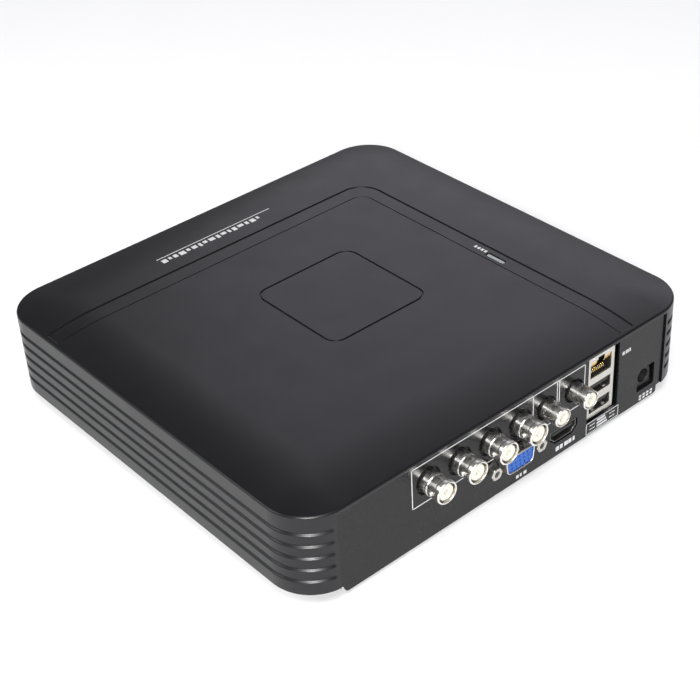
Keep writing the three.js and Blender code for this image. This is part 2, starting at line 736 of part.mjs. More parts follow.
// The D-shaped outline, wider at the top
function vgaOutline(grow) {
  const top = 8.1 + grow;
  const bottom = 7 + grow;
  const half = 4.1 + grow;
  const round = 1.6;
  const lean = 0.25;
  const shape = new THREE.Shape();
  shape.moveTo(-bottom + round, -half);
  shape.lineTo(bottom - round, -half);
  shape.quadraticCurveTo(bottom, -half, bottom + lean, -half + round);
  shape.lineTo(top, half - round);
  shape.quadraticCurveTo(top, half, top - round, half);
  shape.lineTo(-top + round, half);
  shape.quadraticCurveTo(-top, half, -top, half - round);
  shape.lineTo(-bottom - lean, -half + round);
  shape.quadraticCurveTo(-bottom, -half, -bottom + round, -half);
  return shape;
}

const VGA_FLANGE_FRONT = -SHEET - GAP;
const VGA_FLANGE_BACK = VGA_FLANGE_FRONT - 0.8;
const VGA_FLANGE_HALF = [15.4, 6.2];

function vgaShell() {
  const [halfWidth, halfHeight] = VGA_FLANGE_HALF;
  const flange = block(
    around(0, halfWidth),
    [VGA_FLANGE_BACK, VGA_FLANGE_FRONT],
    around(0, halfHeight),
  );
  const sleeve = prismY(vgaOutline(0), [VGA_FLANGE_BACK, VGA_REACH]);
  const hollow = prismY(vgaOutline(-VGA_METAL), [VGA_FLANGE_BACK - PAST, VGA_REACH + PAST]);
  const throughFlange = [VGA_FLANGE_BACK - PAST, VGA_FLANGE_FRONT + PAST];
  const holes = around(0, VGA_SCREW_X).map((x) => bar([x, 0], VGA_SCREW_HOLE, throughFlange, 12));
  return cut(joined(flange, sleeve), hollow, ...holes);
}

// The moulded insert with three rows of five contact holes
function vgaInsert() {
  const back = VGA_FLANGE_BACK - GAP;
  const face = VGA_REACH - 0.6;
  const moulding = { halfWidth: 14, rear: -14, top: 5.5 };
  const contactRadius = 0.55;
  const contactDepth = 4;
  const reliefRadius = 2;
  const reliefDepth = 6;
  const body = joined(
    prismY(vgaOutline(-VGA_METAL - GAP), [back - 2, face]),
    block(around(0, moulding.halfWidth), [moulding.rear, back], [ON_BOARD - VGA_Z, moulding.top]),
  );
  const holes = [];
  for (let row = -1; row <= 1; row += 1) {
    for (let column = -2; column <= 2; column += 1) {
      const x = column * VGA_CONTACT_PITCH + row * VGA_ROW_STEP;
      holes.push(bar([x, row * VGA_ROW_PITCH], contactRadius, [face - contactDepth, face + PAST], 8));
    }
  }
  const screwRelief = around(0, VGA_SCREW_X).map((x) => (
    bar([x, 0], reliefRadius, [back - reliefDepth, back + PAST], 12)
  ));
  return cut(body, ...holes, ...screwRelief);
}

// A hexagonal standoff with a threaded mouth, screwed through the flange
function vgaJackScrew() {
  const tip = VGA_REACH - 0.4;
  const headRadius = 3;
  const shankRadius = 1.5;
  const shankEnd = -6;
  const threadRadius = 1.35;
  const threadFloor = 1.2;
  const head = bar([0, 0], headRadius, [GAP, tip], 6);
  const shank = bar([0, 0], shankRadius, [shankEnd, 1], 12);
  const thread = bar([0, 0], threadRadius, [threadFloor, tip + PAST], 12);
  return joined(head, shank).subtract(thread);
}

// The outline with its two lower corners stepped in
function hdmiOutline(grow) {
  const half = 7.5 + grow;
  const high = 2.8 + grow;
  const chamfer = 0.6;
  const footInset = 2.4;
  const step = { inset: 1.6, rise: 1.3 };
  const bend = { start: 1.6, end: 2.6 };
  const shape = new THREE.Shape();
  shape.moveTo(-half + footInset, -high);
  shape.lineTo(half - footInset, -high);
  shape.lineTo(half - step.inset, -high + step.rise);
  shape.quadraticCurveTo(half, -high + bend.start, half, -high + bend.end);
  shape.lineTo(half, high - chamfer);
  shape.lineTo(half - chamfer, high);
  shape.lineTo(-half + chamfer, high);
  shape.lineTo(-half, high - chamfer);
  shape.lineTo(-half, -high + bend.end);
  shape.quadraticCurveTo(-half, -high + bend.start, -half + step.inset, -high + step.rise);
  return shape;
}

function hdmiShell() {
  const mouth = -GAP;
  const tube = prismY(hdmiOutline(0), [SOCKET_BACK, mouth], 3);
  return tube.subtract(prismY(hdmiOutline(-HDMI_METAL), [SOCKET_BACK + 1, mouth + PAST], 3));
}

// The contact tongue stands clear of the shell, on a plug that fills the shell's back
function hdmiTongue() {
  const plugDepth = [SOCKET_BACK + 1 + GAP, SOCKET_BACK + 4];
  const plug = prismY(hdmiOutline(-HDMI_METAL - GAP), plugDepth, 3);
  const tongue = { halfWidth: 5.9, front: -0.8, heights: [0.1, 1.3] };
  return joined(
    plug,
    block(around(0, tongue.halfWidth), [SOCKET_BACK + 3, tongue.front], tongue.heights),
  );
}

// The power jack: a round front over a square foot on the board
function powerJackBody() {
  const [rear, front] = [-14, -1.5];
  const body = joined(
    block(around(0, POWER_BODY_RADIUS), [rear, front], [ON_BOARD - POWER_Z, 0]),
    bar([0, 0], POWER_BODY_RADIUS, [rear, front], 28),
  );
  return body.subtract(bar([0, 0], POWER_BORE, [rear - PAST, front + PAST], 24));
}

function powerJackPin() {
  const root = { back: -13.7, front: -12, radius: POWER_BORE - GAP };
  const tip = { start: -5.8, end: -5, radius: 0.6 };
  return turnedY([
    [0, root.back],
    [root.radius, root.back],
    [root.radius, root.front],
    [POWER_PIN_RADIUS, root.front],
    [POWER_PIN_RADIUS, tip.start],
    [tip.radius, tip.end],
    [0, tip.end],
  ], 16);
}

// ---------------------------------------------------------------- network and USB tower

// The plug's latch slides in a notch over the network socket's mouth.
function latchHeights() {
  return [NETWORK_MOUTH.top - PAST, LATCH_NOTCH.top];
}

function towerShield() {
  const sides = around(TOWER_X, TOWER_HALF);
  const innerSides = around(TOWER_X, TOWER_HALF - TOWER_SKIN);
  const mouth = around(TOWER_X, TOWER_MOUTH_HALF);
  const front = [TOWER_FRONT - TOWER_SKIN - PAST, TOWER_FRONT + PAST];
  return cut(
    block(sides, [TOWER_BACK, TOWER_FRONT], [ON_BOARD, TOWER_TOP]),
    block(
      innerSides,
      [TOWER_BACK + TOWER_SKIN, TOWER_FRONT - TOWER_SKIN],
      [ON_BOARD - PAST, TOWER_TOP - TOWER_SKIN],
    ),
    ...[NETWORK_MOUTH, ...USB_MOUTHS].map(({ bottom, top }) => block(mouth, front, [bottom, top])),
    block(around(TOWER_X, LATCH_NOTCH.half), front, latchHeights()),
  );
}

function towerInsert() {
  const clear = TOWER_SKIN + GAP;
  const face = TOWER_FRONT - clear;
  const mouth = around(TOWER_X, TOWER_MOUTH_HALF);
  const openingDepth = ({ depth }) => [face - depth, face + PAST];
  const latchDepth = [face - LATCH_NOTCH.depth, face + PAST];
  let body = cut(
    block(around(TOWER_X, TOWER_HALF - clear), [TOWER_BACK + clear, face], [ON_BOARD, TOWER_TOP - clear]),
    block(mouth, openingDepth(NETWORK_MOUTH), [NETWORK_MOUTH.bottom, NETWORK_MOUTH.top]),
    block(around(TOWER_X, LATCH_NOTCH.half), latchDepth, latchHeights()),
  );
  const tongueHalfWidth = 5.6;
  const tongueHalfHeight = 0.95;
  const tongueRise = 0.7;
  for (const usb of USB_MOUTHS) {
    const heights = around((usb.bottom + usb.top) / 2 + tongueRise, tongueHalfHeight);
    body = body.subtract(block(mouth, openingDepth(usb), [usb.bottom, usb.top]));
    body = body.add(block(around(TOWER_X, tongueHalfWidth), [face - usb.depth - PAST, face], heights));
  }
  return body;
}

// ---------------------------------------------------------------- circuit board and its pieces

function mainBoard() {
  const board = block([BOARD_LEFT, BOARD_RIGHT], [BOARD_FRONT, BOARD_REAR], [BOARD_BOTTOM, BOARD_TOP]);
  const through = [BOARD_BOTTOM - PAST, BOARD_TOP + PAST];
  return cut(board, ...BOARD_SCREWS.map((place) => post(place, BOARD_HOLE_RADIUS, through, 12)));
}

// A finned block, with its middle at x = 0, y = 0 and its base at z = 0
function heatsink() {
  const half = 15;
  const plate = 2.5;
  const height = 12;
  const fins = 7;
  const finHalf = 0.6;
  const finPitch = 2 * (half - finHalf) / (fins - 1);
  let body = block(around(0, half), around(0, half), [0, plate]);
  for (let i = 0; i < fins; i += 1) {
    const x = -half + finHalf + i * finPitch;
    body = body.add(block(around(x, finHalf), around(0, half), [plate / 2, height]));
  }
  return body;
}

function coinCellHolder() {
  const outside = COIN_CELL_RADIUS + 2;
  const pocket = COIN_CELL_RADIUS + 0.6;
  const height = COIN_CELL_FLOOR + COIN_CELL_HEIGHT - 0.5;
  return cut(
    post([0, 0], outside, [0, height], 24),
    post([0, 0], pocket, [COIN_CELL_FLOOR, height + PAST], 24),
  );
}

function buzzer() {
  const height = 8.5;
  const soundHole = 1.2;
  return post([0, 0], 6, [0, height]).subtract(post([0, 0], soundHole, [height - 1.5, height + PAST], 10));
}

// A clear stalk that carries the board's light up to a bar in the roof
function lightGuide() {
  const neck = SHELL_TOP - WALL - GUIDE_HEAD;
  const top = SHELL_TOP - BAND_DEPTH - GUIDE_RECESS;
  const width = around(0, GUIDE_HALF_WIDTH);
  return joined(
    block(width, around(0, GUIDE_HALF_LENGTH), [neck, top]),
    block(width, around(0, GUIDE_STALK_HALF), [GUIDE_BOTTOM, neck + PAST]),
  );
}

// ---------------------------------------------------------------- hard drive, in its own frame

function driveBase() {
  const length = around(0, DRIVE_HALF_LENGTH);
  const left = length[0];
  const wells = [DRIVE_FLOOR, DRIVE_DECK + PAST];
  const armWell = roundedRectangle([-66.7, 8.3], [-38.4, 43.6], 6);
  const boardRecess = { right: BOARD_ON_DRIVE.right + 2, half: BOARD_ON_DRIVE.half + 2 };
  const plugRecess = { across: [-27.4, 19.6], depth: 4, top: 9.4 };
  const screwHoles = DRIVE_SCREW_X.flatMap((x) => (
    [-DRIVE_SCREW_Y, DRIVE_SCREW_Y].map((y) => post([x, y], 1.9, [-PAST, 4.8], 12))
  ));
  const hollowed = cut(
    prismZ(roundedRectangle(length, around(0, DRIVE_HALF_WIDTH), DRIVE_CORNER), [0, DRIVE_DECK]),
    post([SPINDLE_X, 0], PLATTER_RADIUS + 1.1, wells, 36),
    prismZ(armWell, wells),
    block([left - PAST, boardRecess.right], around(0, boardRecess.half), [-PAST, 2.1]),
    block([left - PAST, left + plugRecess.depth], plugRecess.across, [-PAST, plugRecess.top]),
    ...screwHoles,
  );
  return joined(
    hollowed,
    post([SPINDLE_X, 0], SPINDLE_RADIUS, [DRIVE_FLOOR - PAST, POST_TOP]),
    post([PIVOT_X, 0], PIVOT_RADIUS, [DRIVE_FLOOR - PAST, POST_TOP]),
  );
}

function driveCover() {
  const inset = 1;
  const top = DRIVE_DECK + 1.5;
  const dish = { radius: 30, depth: 0.4 };
  const lid = prismZ(
    roundedRectangle(
      around(0, DRIVE_HALF_LENGTH - inset),
      around(0, DRIVE_HALF_WIDTH - inset),
      DRIVE_CORNER,
    ),
    [DRIVE_DECK + GAP, top],
  );
  return lid.subtract(post([SPINDLE_X, 0], dish.radius, [top - dish.depth, top + PAST], 36));
}

// The disc and its hub, turned about the spindle's axis
function drivePlatter() {
  const bore = SPINDLE_RADIUS + GAP;
  const [hubBottom, hubTop] = HUB_HEIGHTS;
  return turnedZ([
    [bore, hubBottom],
    [HUB_RADIUS, hubBottom],
    [HUB_RADIUS, PLATTER_Z - PLATTER_HALF_THICKNESS],
    [PLATTER_RADIUS, PLATTER_Z - PLATTER_HALF_THICKNESS],
    [PLATTER_RADIUS, PLATTER_Z + PLATTER_HALF_THICKNESS],
    [HUB_RADIUS, PLATTER_Z + PLATTER_HALF_THICKNESS],
    [HUB_RADIUS, hubTop],
    [bore, hubTop],
    [bore, hubBottom],
  ], 36);
}

// The head arm about its pivot: a sleeve, two arms that straddle the disc, and the coil's tail
function driveHeadArm() {
  const tipStart = ARM_LENGTH - ARM_TIP_LENGTH;
  const tipRootHalf = 2;
  const armShape = new THREE.Shape();
  armShape.moveTo(0, -ARM_ROOT_HALF);
  armShape.lineTo(tipStart, -tipRootHalf);
  armShape.lineTo(ARM_LENGTH, -ARM_TIP_HALF);
  armShape.lineTo(ARM_LENGTH, ARM_TIP_HALF);
  armShape.lineTo(tipStart, tipRootHalf);
  armShape.lineTo(0, ARM_ROOT_HALF);
  const tailRoot = { x: -5, half: 4 };
  const tail = new THREE.Shape();
  tail.absarc(0, 0, COIL_RADIUS, Math.PI - COIL_HALF_ANGLE, Math.PI + COIL_HALF_ANGLE);
  tail.lineTo(tailRoot.x, -tailRoot.half);
  tail.lineTo(tailRoot.x, tailRoot.half);
  const [sleeveBottom, sleeveTop] = ARM_SLEEVE_HEIGHTS;
  return joined(
    post([0, 0], ARM_SLEEVE_RADIUS, ARM_SLEEVE_HEIGHTS, 24),
    prismZ(armShape, around(PLATTER_Z - ARM_FROM_DISC, ARM_HALF_THICKNESS)),
    prismZ(armShape, around(PLATTER_Z + ARM_FROM_DISC, ARM_HALF_THICKNESS)),
    prismZ(tail, [PLATTER_Z - 2, PLATTER_Z + 1]),
  ).subtract(post([0, 0], PIVOT_RADIUS + 0.4, [sleeveBottom - PAST, sleeveTop + PAST]));
}

// The fan-shaped magnet under the coil's sweep, about the pivot
function driveMagnet() {
  const [start, end] = [Math.PI * 1.02, Math.PI * 1.4];
  const fan = new THREE.Shape();
  fan.absarc(0, 0, COIL_RADIUS + 3, start, end);
  fan.absarc(0, 0, ARM_SLEEVE_RADIUS + 3, end, start, true);
  return prismZ(fan, [DRIVE_FLOOR + GAP, PLATTER_Z - 2.8]);
}

// The drive's own circuit board with its plug at the drive's end
function driveBoard() {
  const left = -DRIVE_HALF_LENGTH;
  const plug = { depth: 3.7, top: 8.4 };
  return joined(
    block([left, BOARD_ON_DRIVE.right], around(0, BOARD_ON_DRIVE.half), BOARD_ON_DRIVE.heights),
    block([left, left + plug.depth], [POWER_PLUG_Y[0] - 1, DATA_PLUG_Y[1] + 2], [1, plug.top]),
  );
}

// ---------------------------------------------------------------- inner cables
// Each has a plug on the board, a plug on the drive's end and the cable between them, as one piece.

function driveCable(socket, plugTop, drivePlugY, radius, route) {
  const driveEnd = DRIVE_PLACE[0] - DRIVE_HALF_LENGTH;
  const boardPlug = block(socket.across, socket.along, [socket.top + GAP, plugTop]);
  const drivePlug = block(
    [driveEnd - DRIVE_PLUG_LENGTH, driveEnd - GAP],
    drivePlugY.map((y) => DRIVE_PLACE[1] + y),
    DRIVE_PLUG_HEIGHTS,
  );
  return joined(boardPlug, drivePlug, cable(route, radius));
}

function driveDataCable() {
  return driveCable(DATA_SOCKET, 22.5, DATA_PLUG_Y, DATA_CABLE_RADIUS, [
    [-51, 22.5, 22],
    [-52, 21.5, 30],
    [-60, 17, 35],
    [-74, 8, 32],
    [-86, -6, 22],
    [-87, -19, 13.5],
    [-80, -26, 11],
    [-71, -26, 11],
  ]);
}

function drivePowerCable() {
  return driveCable(POWER_SOCKET, 20, POWER_PLUG_Y, POWER_CABLE_RADIUS, [
    [-33.2, 23, 19.5],
    [-34, 21, 29],
    [-44, 12, 36],
    [-62, -6, 37],
    [-78, -24, 30],
    [-86, -40, 18],
    [-80, -49, 11.5],
    [-71, -50, 11],
  ]);
}

// ---------------------------------------------------------------- looks

const LOOKS = {
  blackMoulding: { color: 0x1c1d20, roughness: 0.42, metalness: 0 },
  blackSheet: { color: 0x1b1b1d, roughness: 0.55, metalness: 0.2 },
  rubber: { color: 0x121213, roughness: 0.9, metalness: 0 },
  nickel: { color: 0xc9c6bd, roughness: 0.18, metalness: 1 },
  zinc: { color: 0xb7b6ad, roughness: 0.35, metalness: 1 },
  whiteInsulator: { color: 0xe9e7df, roughness: 0.5, metalness: 0 },
  blueInsert: { color: 0x1f56b4, roughness: 0.45, metalness: 0 },
  blackInsert: { color: 0x141414, roughness: 0.6, metalness: 0 },
  greenBoard: { color: 0x14532d, roughness: 0.5, metalness: 0 },
  aluminium: { color: 0x9a9ca0, roughness: 0.4, metalness: 1 },
  polishedDisc: { color: 0xd5d7da, roughness: 0.05, metalness: 1 },
  clear: { color: 0xd9e2e6, roughness: 0.2, metalness: 0 },
};

// ---------------------------------------------------------------- assembly

function place(group, name, shape, look, position = [0, 0, 0], rotation = [0, 0, 0]) {
  const { vertProperties, triVerts } = shape.getMesh();
  const geometry = new THREE.BufferGeometry();
  geometry.setAttribute('position', new THREE.BufferAttribute(vertProperties, 3));
  geometry.setIndex(new THREE.BufferAttribute(triVerts, 1));
  geometry.computeVertexNormals();
  const mesh = new THREE.Mesh(geometry, new THREE.MeshStandardMaterial(look));
  mesh.name = name;
  mesh.position.set(...position);
  mesh.rotation.set(...rotation);
  group.add(mesh);
}

function housing() {
  const group = new THREE.Group();
  place(group, 'top_shell', topShell(), LOOKS.blackMoulding);
  place(group, 'base_tray', baseTray(), LOOKS.blackSheet);
  place(group, 'rear_panel', rearPanel(), LOOKS.blackSheet);
  for (const [corner, [x, y]] of Object.entries(FOOT_PLACES)) {
    place(group, `foot_${corner}`, foot(), LOOKS.rubber, [x, y, 0]);
  }
  CASE_SCREW_PLACES.forEach(([x, y], i) => {
    place(group, `case_screw_${i + 1}`, screw(CASE_SCREW), LOOKS.zinc, [x, y, CASE_HEAD_Z]);
  });
  return group;
}

function sockets() {
  const group = new THREE.Group();
  VIDEO_JACKS.forEach((x, i) => {
    const at = [x, PANEL_FACE, VIDEO_JACK_Z];
    place(group, `video_jack_${i + 1}`, videoJackShell(), LOOKS.nickel, at);
    place(group, `video_insulator_${i + 1}`, videoJackInsulator(), LOOKS.whiteInsulator, at);
  });
  AUDIO_JACK_X.forEach((x, i) => {
    const at = [x, PANEL_FACE, AUDIO_JACK_Z];
    place(group, `audio_jack_${i + 1}`, audioJackShell(), LOOKS.nickel, at);
    place(group, `audio_insulator_${i + 1}`, audioJackInsulator(), LOOKS.whiteInsulator, at);
  });
  const vgaPlace = [VGA_X, PANEL_FACE, VGA_Z];
  place(group, 'vga_shell', vgaShell(), LOOKS.nickel, vgaPlace);
  place(group, 'vga_insert', vgaInsert(), LOOKS.blueInsert, vgaPlace);
  const [leftScrewX, rightScrewX] = around(VGA_X, VGA_SCREW_X);
  place(group, 'vga_jack_screw_left', vgaJackScrew(), LOOKS.zinc, [leftScrewX, PANEL_FACE, VGA_Z]);
  place(group, 'vga_jack_screw_right', vgaJackScrew(), LOOKS.zinc, [rightScrewX, PANEL_FACE, VGA_Z]);
  const hdmiPlace = [HDMI_X, PANEL_FACE, HDMI_Z];
  place(group, 'hdmi_shell', hdmiShell(), LOOKS.nickel, hdmiPlace);
  place(group, 'hdmi_tongue', hdmiTongue(), LOOKS.blackInsert, hdmiPlace);
  const powerPlace = [POWER_X, PANEL_FACE, POWER_Z];
  place(group, 'power_jack_body', powerJackBody(), LOOKS.blackInsert, powerPlace);
  place(group, 'power_jack_pin', powerJackPin(), LOOKS.nickel, powerPlace);
  place(group, 'jack_block', jackBlock(), LOOKS.blackInsert);
  place(group, 'port_stack_shield', towerShield(), LOOKS.zinc);
  place(group, 'port_stack_insert', towerInsert(), LOOKS.blackInsert);
  return group;
}

function circuit() {
  const group = new THREE.Group();
  place(group, 'main_board', mainBoard(), LOOKS.greenBoard);
  const chipHeight = 1.5;
  const chip = block(around(0, 11.5), around(0, 11.5), [0, chipHeight]);
  const memory = block(around(0, 6), around(0, 5), [0, 1.2]);
  const led = block(around(0, 0.8), around(0, 1.5), [0, 1]);
  const capacitor = turnedZ([[0, 0], [5, 0], [5, 11.6], [4.6, 12.1], [0, 12.1]]);
  const cell = post([0, 0], COIN_CELL_RADIUS, [0, COIN_CELL_HEIGHT], 24);
  const cellPlace = [...COIN_CELL_PLACE, ON_BOARD + COIN_CELL_FLOOR + GAP];
  const heatsinkPlace = [...PROCESSOR_PLACE, ON_BOARD + chipHeight + GAP];
  place(group, 'processor_chip', chip, LOOKS.blackInsert, [...PROCESSOR_PLACE, ON_BOARD]);
  place(group, 'heatsink', heatsink(), LOOKS.aluminium, heatsinkPlace);
  place(group, 'memory_chip', memory, LOOKS.blackInsert, [...MEMORY_PLACE, ON_BOARD]);
  place(group, 'coin_cell_holder', coinCellHolder(), LOOKS.blackInsert, [...COIN_CELL_PLACE, ON_BOARD]);
  place(group, 'coin_cell', cell, LOOKS.nickel, cellPlace);
  place(group, 'buzzer', buzzer(), LOOKS.blackInsert, [...BUZZER_PLACE, ON_BOARD]);
  place(group, 'power_capacitor', capacitor, LOOKS.aluminium, [...CAPACITOR_PLACE, ON_BOARD]);
  place(group, 'status_led', led, LOOKS.clear, [GUIDE_X, GUIDE_Y, ON_BOARD]);
  place(group, 'light_guide', lightGuide(), LOOKS.clear, [GUIDE_X, GUIDE_Y, 0]);
  const boardSocket = ({ across, along, top }) => block(across, along, [ON_BOARD, top]);
  place(group, 'drive_data_socket', boardSocket(DATA_SOCKET), LOOKS.blackInsert);
  place(group, 'drive_power_socket', boardSocket(POWER_SOCKET), LOOKS.blackInsert);
  // The board's screws hang from their heads, so they are turned over.
  BOARD_SCREWS.forEach(([x, y], i) => {
    const at = [x, y, ON_BOARD + BOARD_SCREW.headHeight];
    place(group, `board_screw_${i + 1}`, screw(BOARD_SCREW), LOOKS.zinc, at, [Math.PI, 0, 0]);
  });
  place(group, 'drive_data_cable', driveDataCable(), LOOKS.blackSheet);
  place(group, 'drive_power_cable', drivePowerCable(), LOOKS.blackSheet);
  return group;
}

function hardDrive() {
  const group = new THREE.Group();
  group.position.set(...DRIVE_PLACE);
  const pivot = [PIVOT_X, 0, 0];
  place(group, 'drive_base', driveBase(), LOOKS.aluminium);
  place(group, 'drive_cover', driveCover(), LOOKS.aluminium);
  place(group, 'drive_platter', drivePlatter(), LOOKS.polishedDisc, [SPINDLE_X, 0, 0]);
  place(group, 'drive_head_arm', driveHeadArm(), LOOKS.aluminium, pivot, [0, 0, ARM_PARK]);
  place(group, 'drive_magnet', driveMagnet(), LOOKS.nickel, pivot);
  place(group, 'drive_board', driveBoard(), LOOKS.greenBoard);
  DRIVE_SCREW_PLACES.forEach(([x, y], i) => {
    const at = [x - DRIVE_PLACE[0], y - DRIVE_PLACE[1], DRIVE_SCREW_HEAD_Z - DRIVE_PLACE[2]];
    place(group, `drive_screw_${i + 1}`, screw(DRIVE_SCREW), LOOKS.zinc, at);
  });
  return group;
}

const recorder = new THREE.Group();
recorder.position.y = -DEPTH_SHIFT;
recorder.add(housing(), sockets(), circuit(), hardDrive());

export default recorder;
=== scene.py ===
"""Looks of a compact four-channel video recorder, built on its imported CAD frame.

Shapes are worked out in millimetres in the housing's own frame, whose middle is x = 0, y = 0,
and piece() moves them to the row frame in metres.
"""

import json
import math

import bpy
import numpy as np
from mathutils import Matrix, Vector
from mathutils.geometry import delaunay_2d_cdt


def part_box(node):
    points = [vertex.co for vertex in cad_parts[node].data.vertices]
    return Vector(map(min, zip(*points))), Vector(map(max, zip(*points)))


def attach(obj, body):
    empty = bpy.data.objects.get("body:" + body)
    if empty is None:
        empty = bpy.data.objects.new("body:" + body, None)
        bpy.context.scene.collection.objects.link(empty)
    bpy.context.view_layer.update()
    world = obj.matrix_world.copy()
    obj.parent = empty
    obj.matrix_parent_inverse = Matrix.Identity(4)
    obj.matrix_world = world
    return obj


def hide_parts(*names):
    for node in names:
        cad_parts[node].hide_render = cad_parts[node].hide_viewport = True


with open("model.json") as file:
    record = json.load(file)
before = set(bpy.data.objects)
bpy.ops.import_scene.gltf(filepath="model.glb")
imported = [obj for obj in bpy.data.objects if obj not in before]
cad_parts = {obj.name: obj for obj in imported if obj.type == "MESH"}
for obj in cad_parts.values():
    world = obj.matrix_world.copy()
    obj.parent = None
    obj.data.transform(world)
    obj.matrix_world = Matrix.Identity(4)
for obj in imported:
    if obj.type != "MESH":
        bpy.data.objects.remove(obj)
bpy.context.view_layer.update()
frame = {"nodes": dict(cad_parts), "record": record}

MM = 0.001


def span(node):
    """The node's box in the housing's own frame, in millimetres."""
    low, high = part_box(node)
    return [v / MM for v in low], [v / MM for v in high]


shell_low, shell_high = span("top_shell")
MIDDLE_Y = (shell_low[1] + shell_high[1]) / 2


def centre(node):
    """The middle of the node's box, in the housing's own frame."""
    low, high = span(node)
    x, y, z = ((a + b) / 2 for a, b in zip(low, high))
    return x, y - MIDDLE_Y, z


def far_y(node):
    return span(node)[1][1] - MIDDLE_Y


# ---------------------------------------------------------------- sizes, in millimetres

HALF_WIDTH = shell_high[0]
HALF_DEPTH = (shell_high[1] - shell_low[1]) / 2
SHELL_BOTTOM, SHELL_TOP = shell_low[2], shell_high[2]
CORNER_RADIUS = 19.5
INNER_CORNER_RADIUS = 5
WALL = 2.2
EDGE_RADIUS = 1.1
EDGE_START = 42.3
CROWN_RUN = 26
ROOF_TOP = SHELL_TOP - 0.03
CROWN_DROP = ROOF_TOP - EDGE_START - EDGE_RADIUS
GROOVES = [13.05 + 5.61 * i for i in range(5)]
GROOVE_DEPTH = 0.75
GROOVE_HALF = 1.15
GROOVE_END_X = 91
LINE_DEPTH = 0.5
BAND_DEPTH = 0.25
BAND_OUTER = (-70, -65.5, 11)
BAND_INNER = (-62.6, -57.3, 6)
BAND_END_INSET = 1.9
SQUARE_HALF, SQUARE_RADIUS = 25.9, 6
SEAM_X, SEAM_Z = 89.4, 41.5
CHAMFER = 0.6
MARK_RISE = 0.02
PANEL_FACE = far_y("rear_panel")
PANEL_BACK = PANEL_FACE - 1.2
PANEL_FOOT_HALF = 86.9
JACK_BACK = PANEL_FACE - 12
VIDEO_HOLE, AUDIO_HOLE = 6.1, 5.3
POWER_HOLE_X, POWER_HOLE_Z = 5.3, 5.35
SOCKET_CLEARANCE = 0.5
COLLAR_RADIUS = 4.9
VIDEO_BORE, VIDEO_NECK, VIDEO_LIP = 4.15, 4.65, 4.95
AUDIO_BORE, AUDIO_NECK = 3.55, 4.15
VGA_Z = 17.3
VGA_SCREW_X, VGA_SCREW_HOLE = 12.495, 1.9
VGA_COLUMN_PITCH, VGA_ROW_PITCH, VGA_ROW_STEP = 2.29, 1.98, 0.38
VGA_FLANGE_X, VGA_FLANGE_Z = 15.4, 6.2
STANDOFF_RADIUS = 3.0
STRIP_PITCH, WIRE_PITCH, USB_CONTACT_PITCH = 1.1, 1.02, 2.33
NOTCH_LEFT, NOTCH_RIGHT, NOTCH_FLOOR = -61.7, -43.2, 8.6
MOUTH_HALF = 6.2
NETWORK_MOUTH = (29.2, 36.8)
LATCH_HALF, LATCH_TOP = 1.9, 37.9
USB_MOUTHS = ((20.6, 25.8), (11.6, 16.8))
USB_TONGUE_RISE = 0.7
LIGHT_PIPE_X, LIGHT_PIPE_Z = 4.4, 38.2
POWER_RADIUS, POWER_BORE = 4.5, 3.2
BOARD_TOP = 8.9
GUIDE = centre("light_guide")
SLOT_HALF_X, SLOT_HALF_Y = 1.2, 5.3


# ---------------------------------------------------------------- procedural materials

